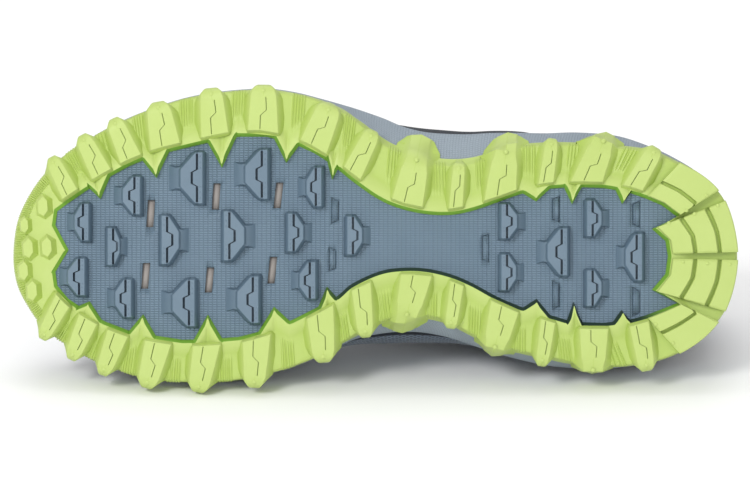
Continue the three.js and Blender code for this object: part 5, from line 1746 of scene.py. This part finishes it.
class Graph:
    """A node tree with short calls to place and join its nodes."""

    def __init__(self, tree: bpy.types.NodeTree) -> None:
        """Takes the tree to build in."""
        self.tree = tree

    def add(self, kind: str, **settings: object) -> bpy.types.Node:
        """Places a node and sets its properties, and its inputs by number or by name.

        Args:
            kind: the node's type.
            settings: properties of the node; the entry inputs maps an input's name or number
                to a value or to an output to join it to.

        Returns:
            The node.
        """
        inputs = settings.pop("inputs", {})
        node = self.tree.nodes.new(kind)
        for key, value in settings.items():
            setattr(node, key, value)
        for key, value in inputs.items():
            if isinstance(value, bpy.types.NodeSocket):
                self.tree.links.new(value, node.inputs[key])
            else:
                node.inputs[key].default_value = value
        return node

    def math(self, operation: str, a: object, b: object = 0.0,
             c: object = 0.0) -> bpy.types.NodeSocket:
        """A math node's result."""
        node = self.add("ShaderNodeMath", operation=operation, inputs={0: a, 1: b, 2: c})
        return node.outputs[0]

    def spread(self, value: object, low: float, high: float) -> bpy.types.NodeSocket:
        """A value as a smooth step from low to high."""
        return self.add("ShaderNodeMapRange", interpolation_type="SMOOTHSTEP",
                        inputs={0: value, 1: low, 2: high}).outputs[0]

    def blend(self, share: object, a: object, b: object) -> bpy.types.NodeSocket:
        """A blend of two colours."""
        node = self.add("ShaderNodeMix", data_type="RGBA", inputs={0: share, 6: a, 7: b})
        return node.outputs[2]

    def chart(self) -> tuple[bpy.types.NodeSocket, bpy.types.NodeSocket]:
        """The piece's chart in mm, as its two directions."""
        uv = self.add("ShaderNodeUVMap", uv_map="Chart").outputs[0]
        split = self.add("ShaderNodeSeparateXYZ", inputs={0: uv})
        return split.outputs[0], split.outputs[1]

    def cell(self, value: object, pitch: float, shift: float = 0.0) -> bpy.types.NodeSocket:
        """Distance from the middle of a repeated cell, from -0.5 to 0.5."""
        turns = self.math("MULTIPLY_ADD", value, 1.0 / pitch, shift)
        return self.math("SUBTRACT", self.math("FRACT", turns), 0.5)

    def wave(self, value: object, pitch: float) -> bpy.types.NodeSocket:
        """A sine of a distance that repeats with a pitch."""
        return self.math("SINE", self.math("MULTIPLY", value, 2 * math.pi / pitch))


def group_sockets(tree: bpy.types.NodeTree, inputs: dict[str, float],
                  outputs: Sequence[str]) -> None:
    """Gives a node group its named inputs, with their first values, and its outputs."""
    for name, value in inputs.items():
        socket = tree.interface.new_socket(name, in_out="INPUT", socket_type="NodeSocketFloat")
        socket.default_value = value
    for name in outputs:
        tree.interface.new_socket(name, in_out="OUTPUT", socket_type="NodeSocketFloat")


def grain_group() -> bpy.types.NodeTree:
    """Fine moulding grain and slow unevenness, shared by every finish.

    Its height is fine noise; its patches are slow noise spread to the whole range.
    """
    found = bpy.data.node_groups.get("surface_grain")
    if found:
        return found
    tree = bpy.data.node_groups.new("surface_grain", "ShaderNodeTree")
    group_sockets(tree, {"Fine": 2500.0, "Slow": 40.0}, ("Height", "Patches", "Specks"))
    graph = Graph(tree)
    start = graph.add("NodeGroupInput")
    where = graph.add("ShaderNodeTexCoord").outputs["Object"]
    fine = graph.add("ShaderNodeTexNoise", inputs={
        "Vector": where, "Scale": start.outputs[0], "Detail": 2.0, "Roughness": 0.6})
    slow = graph.add("ShaderNodeTexNoise", inputs={
        "Vector": where, "Scale": start.outputs[1], "Detail": 4.0, "Roughness": 0.6})
    end = graph.add("NodeGroupOutput")
    tree.links.new(fine.outputs[0], end.inputs[0])
    tree.links.new(graph.spread(slow.outputs[0], 0.3, 0.7), end.inputs[1])
    tree.links.new(graph.spread(fine.outputs[0], 0.66, 0.74), end.inputs[2])
    return tree


class Pattern(Enum):
    """Relief of a surface that repeats."""

    PLAIN = "plain"
    WEB_GRID = "grid of fine lines on the web"
    KNURL = "small raised squares on the foam's side"
    KNIT = "knit with rows of small holes"
    TWILL = "diagonal lining weave"
    CHEVRON = "chevrons of a flat lace"


def relief(graph: Graph, pattern: Pattern, pitch: float) -> bpy.types.NodeSocket | None:
    """Height of a repeated relief over the chart, from 0 to 1.

    Grids take the deeper of two rows of grooves; the knit is 1 with round dips in two
    lattices shifted by half a cell; the weaves are sines of a sum of both directions.

    Args:
        graph: the material's graph.
        pattern: which relief.
        pitch: its repeat in mm.

    Returns:
        The height, or None for a plain surface.
    """
    if pattern is Pattern.PLAIN:
        return None
    u, v = graph.chart()
    if pattern in (Pattern.WEB_GRID, Pattern.KNURL):
        long = pitch * (1.9 if pattern is Pattern.WEB_GRID else 1.0)
        a = graph.math("ABSOLUTE", graph.cell(v, pitch))
        b = graph.math("ABSOLUTE", graph.cell(u, long))
        rows, columns = graph.spread(a, 0.5, 0.28), graph.spread(b, 0.5, 0.36)
        return graph.math("MULTIPLY", rows, columns)
    if pattern is Pattern.KNIT:
        dips = []
        for shift in (0.0, 0.5):
            a, b = graph.cell(u, pitch * 1.25, shift), graph.cell(v, pitch, shift)
            far = graph.math("SQRT", graph.math("ADD", graph.math("MULTIPLY", a, a),
                                                graph.math("MULTIPLY", b, b)))
            dips.append(graph.spread(far, 0.17, 0.29))
        return graph.math("MINIMUM", *dips)
    if pattern is Pattern.TWILL:
        first, second = (graph.wave(line, pitch) for line in (
            graph.math("ADD", u, v), graph.math("SUBTRACT", u, v)))
        return graph.math("MULTIPLY_ADD", graph.math("MULTIPLY", first, second), 0.5, 0.5)
    lean = graph.math("MULTIPLY_ADD", graph.math("ABSOLUTE", v), 0.9, u)
    both = graph.math("MULTIPLY", graph.wave(lean, pitch), graph.wave(v, pitch * 0.7))
    return graph.math("MULTIPLY_ADD", both, 0.5, 0.5)


@dataclass(frozen=True)
class Finish:
    """What every finish has: its colours, gloss, grain and repeated relief, whose low parts get
    painted shade by the share groove. The pitch is in mm, the heights relief_height and grain in
    metres."""

    colour: Colour
    shade: Colour
    roughness: float = 0.6
    gloss_spread: float = 0.12
    pattern: Pattern = Pattern.PLAIN
    pitch: float = 1.0
    relief_height: float = 0.00012
    groove: float = 0.25
    grain: float = 0.00003
    fine: float = 2500.0
    slow: float = 40.0
    coat: float = 0.0
    sheen: float = 0.0
    specular: float = 0.5
    metallic: float = 0.0

    def colours(self, graph: Graph, base: bpy.types.NodeSocket) -> bpy.types.NodeSocket:
        """The base colour as it is; a finish can change it in places."""
        return base

    def build(self, name: str) -> bpy.types.Material:
        """Makes the material, or returns it if it was made before.

        Args:
            name: the material's name.

        Returns:
            The material.
        """
        found = bpy.data.materials.get(name)
        if found:
            return found
        material = bpy.data.materials.new(name)
        material.use_nodes = True
        graph = Graph(material.node_tree)
        shader = material.node_tree.nodes["Principled BSDF"]
        grain = graph.add("ShaderNodeGroup", node_tree=grain_group(),
                          inputs={"Fine": self.fine, "Slow": self.slow})
        light, dark = (*self.colour, 1.0), (*self.shade, 1.0)
        patches = graph.math("MULTIPLY", grain.outputs["Patches"], 0.5)
        base = graph.blend(patches, light, dark)
        height = relief(graph, self.pattern, self.pitch)
        bump = graph.add("ShaderNodeBump", inputs={
            "Strength": 0.6, "Distance": self.grain, "Height": grain.outputs["Height"]})
        # Painted shade: the relief's low parts are blended towards a quarter of the shade colour,
        # by the share groove
        if height is not None:
            low = graph.math("MULTIPLY", graph.math("SUBTRACT", 1.0, height), self.groove)
            base = graph.blend(low, base, (*[0.25 * c for c in self.shade], 1.0))
            bump = graph.add("ShaderNodeBump", inputs={
                "Strength": 0.9, "Distance": self.relief_height, "Height": height,
                "Normal": bump.outputs[0]})
        base = self.colours(graph, base)
        rough = graph.math("MULTIPLY_ADD", grain.outputs["Patches"], self.gloss_spread,
                           self.roughness - self.gloss_spread / 2)
        link = material.node_tree.links.new
        link(base, shader.inputs["Base Color"])
        link(rough, shader.inputs["Roughness"])
        link(bump.outputs[0], shader.inputs["Normal"])
        values = {"Coat Weight": self.coat, "Coat Roughness": 0.35, "Metallic": self.metallic,
                  "Sheen Weight": self.sheen, "Sheen Roughness": 0.45,
                  "Specular IOR Level": self.specular}
        for key, value in values.items():
            shader.inputs[key].default_value = value
        material.diffuse_color = light
        return material


@dataclass(frozen=True)
class RubberFinish(Finish):
    """Moulded rubber; attributes paint shade into its valleys, flanks and grooves and onto the
    step beside the web.
    """

    # Painted shade: the colour in valleys, on flanks and in grooves, then the step's darker green,
    # and its near-black where the step's mark passes 1
    valley: Colour = (0.38, 0.56, 0.06)
    step: Colour = (0.16, 0.34, 0.03)
    painted_deep_shade: Colour = (0.015, 0.035, 0.02)

    def colours(self, graph: Graph, base: bpy.types.NodeSocket) -> bpy.types.NodeSocket:
        """Painted shade where the attributes say so: a darker colour in valleys, on flanks and in
        grooves, and the step's two shade colours.
        """
        valley = graph.add("ShaderNodeAttribute", attribute_name="valley").outputs["Fac"]
        base = graph.blend(graph.math("MULTIPLY", valley, 0.6), base, (*self.valley, 1.0))
        # Painted shade on the inner step: darker green up to a mark of 1, near-black above it
        painted_step_shade = graph.add("ShaderNodeAttribute", attribute_name="step").outputs["Fac"]
        base = graph.blend(graph.math("MINIMUM", painted_step_shade, 1.0), base, (*self.step, 1.0))
        more = graph.math("SUBTRACT", painted_step_shade, 1.0)
        return graph.blend(graph.math("MAXIMUM", more, 0.0), base, (*self.painted_deep_shade, 1.0))


@dataclass(frozen=True)
class FoamFinish(Finish):
    """Foam, film, thread and metal: one colour with its grain."""


@dataclass(frozen=True)
class TextileFinish(Finish):
    """Cloth: soft sheen and a woven or knitted relief."""


# Green rubber; its painted-shade colour darkens valleys, flanks and grooves
GREEN = RubberFinish((0.41, 0.51, 0.15), (0.385, 0.485, 0.13), roughness=0.5,
                     grain=0.00002, specular=0.35, valley=(0.3, 0.425, 0.05))
BLUE_GREY = RubberFinish((0.135, 0.202, 0.265), (0.117, 0.18, 0.24), roughness=0.5,
                         pattern=Pattern.WEB_GRID, pitch=0.95, relief_height=0.0003,
                         groove=0.24, specular=0.45)
# Lug rubber; its near-black painted-shade colour goes on flanks, feet and sipes
LUG_GREY = RubberFinish((0.11, 0.165, 0.216), (0.097, 0.149, 0.199), roughness=0.48,
                        grain=0.00002, specular=0.45, valley=(0.035, 0.065, 0.1))
GREY_FOAM = FoamFinish((0.27, 0.32, 0.37), (0.245, 0.293, 0.342), roughness=0.7,
                       pattern=Pattern.KNURL, pitch=1.15, relief_height=0.0002, groove=0.2)
WARM_FOAM = FoamFinish((0.3, 0.275, 0.255), (0.25, 0.23, 0.215), roughness=0.85)
KNIT = TextileFinish((0.15, 0.2, 0.268), (0.13, 0.178, 0.24), roughness=0.85,
                     pattern=Pattern.KNIT, pitch=2.3, relief_height=0.0004, groove=0.85,
                     sheen=0.25, specular=0.25)
NAVY_FILM = FoamFinish((0.011, 0.016, 0.025), (0.009, 0.013, 0.021), roughness=0.7,
                       grain=0.00005, fine=1600.0, specular=0.45)
LINING = TextileFinish((0.03, 0.036, 0.045), (0.024, 0.03, 0.038), roughness=0.95,
                       pattern=Pattern.TWILL, pitch=1.5, groove=0.5, sheen=0.35, specular=0.2)
FOOTBED_CLOTH = TextileFinish((0.05, 0.06, 0.075), (0.04, 0.05, 0.064), roughness=0.95,
                              pattern=Pattern.TWILL, pitch=1.2, groove=0.5, sheen=0.2,
                              specular=0.2)
TONGUE_CLOTH = TextileFinish((0.06, 0.085, 0.12), (0.05, 0.07, 0.1), roughness=0.9,
                             pattern=Pattern.KNIT, pitch=1.9, relief_height=0.0003,
                             groove=0.6, sheen=0.25, specular=0.2)
LACE = TextileFinish((0.035, 0.042, 0.054), (0.028, 0.034, 0.045), roughness=0.85,
                     pattern=Pattern.CHEVRON, pitch=1.6, relief_height=0.0003, groove=0.7,
                     sheen=0.2, specular=0.25)
THREAD = FoamFinish((0.12, 0.165, 0.215), (0.1, 0.14, 0.19), roughness=0.6)
EYELET_METAL = FoamFinish((0.05, 0.06, 0.075), (0.04, 0.05, 0.06), roughness=0.35,
                          metallic=0.7)


@dataclass(frozen=True)
class Studio:
    """Camera square to the sole as in the photograph, pale floor and soft light. In metres,
    but the lens in mm and the camera's aim in mm in the shoe's frame."""

    frame_width: float = 0.3
    distance: float = 2.0
    lens: float = 240.0
    aim: tuple[float, float, float] = (146.0, 4.0, 0.0)
    floor_radius: float = 1.2
    floor_back: float = 4.6
    floor_reach: float = 6.0
    light_aim: tuple[float, float, float] = (0.0, 0.0, 0.06)

    def camera(self) -> bpy.types.Object:
        """A camera on the sole's normal through the middle of the picture, toe to the left."""
        data = bpy.data.cameras.new("camera")
        data.lens = self.lens
        data.sensor_width = self.frame_width / self.distance * self.lens
        data.clip_end = 20.0
        made = bpy.data.objects.new("camera", data)
        bpy.context.scene.collection.objects.link(made)
        right = POSE.direction((-1, 0, 0))
        up = POSE.direction((0, 1, 0))
        back = POSE.direction((0, 0, -1))
        target = Vector(POSE.world(np.array([self.aim]))[0])
        turn = Matrix((right, up, back)).transposed().to_4x4()
        made.matrix_world = Matrix.Translation(target + back * self.distance) @ turn
        bpy.context.scene.camera = made
        return made

    def floor(self) -> bpy.types.Object:
        """A pale floor that curves up far behind the shoe: a flat part, a quarter circle and a
        wall, swept sideways."""
        radius, back, wide = self.floor_radius, self.floor_back, self.floor_reach
        angle = np.linspace(0, np.pi / 2, 24)
        profile = np.concatenate([[[-wide, 0.0]], np.stack([
            back + radius * np.sin(angle), radius * (1 - np.cos(angle))], -1),
            [[back + radius, wide]]])
        x = np.linspace(-wide, wide, 9)
        points = np.zeros((len(profile), len(x), 3))
        points[..., 0] = x
        points[..., 1:] = profile[:, None]
        mesh = bpy.data.meshes.new("floor")
        mesh.from_pydata(points.reshape(-1, 3).tolist(), [],
                         lattice(len(profile), len(x)).tolist())
        mesh.shade_smooth()
        material = bpy.data.materials.new("pale_floor")
        material.use_nodes = True
        shader = material.node_tree.nodes["Principled BSDF"]
        shader.inputs["Base Color"].default_value = (0.92, 0.92, 0.92, 1.0)
        shader.inputs["Roughness"].default_value = 0.75
        mesh.materials.append(material)
        made = bpy.data.objects.new("floor", mesh)
        bpy.context.scene.collection.objects.link(made)
        return made

    def light(self, name: str, place: tuple, power: float, size: float) -> bpy.types.Object:
        """A square area light that faces the shoe."""
        data = bpy.data.lights.new(name, "AREA")
        data.energy, data.size, data.color = power, size, (1.0, 1.0, 1.0)
        made = bpy.data.objects.new(name, data)
        made.location = place
        aim = Vector(self.light_aim) - made.location
        made.rotation_euler = aim.to_track_quat("-Z", "Y").to_euler()
        bpy.context.scene.collection.objects.link(made)
        return made

    def build(self) -> None:
        """Makes the camera, the floor, the lights and an even pale sky."""
        self.camera()
        self.floor()
        self.light("key", (-1.1, -1.9, 1.5), 34.0, 0.7)
        self.light("fill", (0.5, -2.2, 0.35), 16.0, 1.6)
        self.light("top", (0.1, 0.9, 2.4), 16.0, 1.6)
        world = bpy.data.worlds.new("sky")
        world.use_nodes = True
        back = world.node_tree.nodes["Background"]
        back.inputs["Color"].default_value = (1.0, 1.0, 1.0, 1.0)
        back.inputs["Strength"].default_value = 0.72
        bpy.context.scene.world = world
        bpy.context.scene.view_settings.view_transform = "Standard"


def report(pieces: bpy.types.Object | Sequence[bpy.types.Object]) -> None:
    """Logs each piece that was made."""
    for piece in pieces if isinstance(pieces, list) else [pieces]:
        low, high = (np.array(piece.bound_box).min(0), np.array(piece.bound_box).max(0))
        size = ", ".join(f"{1000 * s:.1f}" for s in high - low)
        LOG.info("made %s, %s mm", piece.name, size)


def main() -> None:
    """Builds the shoe and the studio, and reports each piece."""
    logging.basicConfig(level=logging.INFO, format="%(name)s: %(message)s")
    upper = Upper(FORM)
    report(OutsoleRim(FORM).build(GREEN))
    report(OutsoleCentre(FORM).build(BLUE_GREY, LUG_GREY, WARM_FOAM))
    report(Midsole(FORM).build(GREY_FOAM))
    report(upper.build(KNIT, NAVY_FILM, LINING, THREAD, EYELET_METAL))
    report(Footbed(FORM).build(FOOTBED_CLOTH))
    report(Tongue(FORM).build(TONGUE_CLOTH))
    report(Laces(upper).build(LACE))
    Studio().build()


if __name__ == "__main__":
    main()
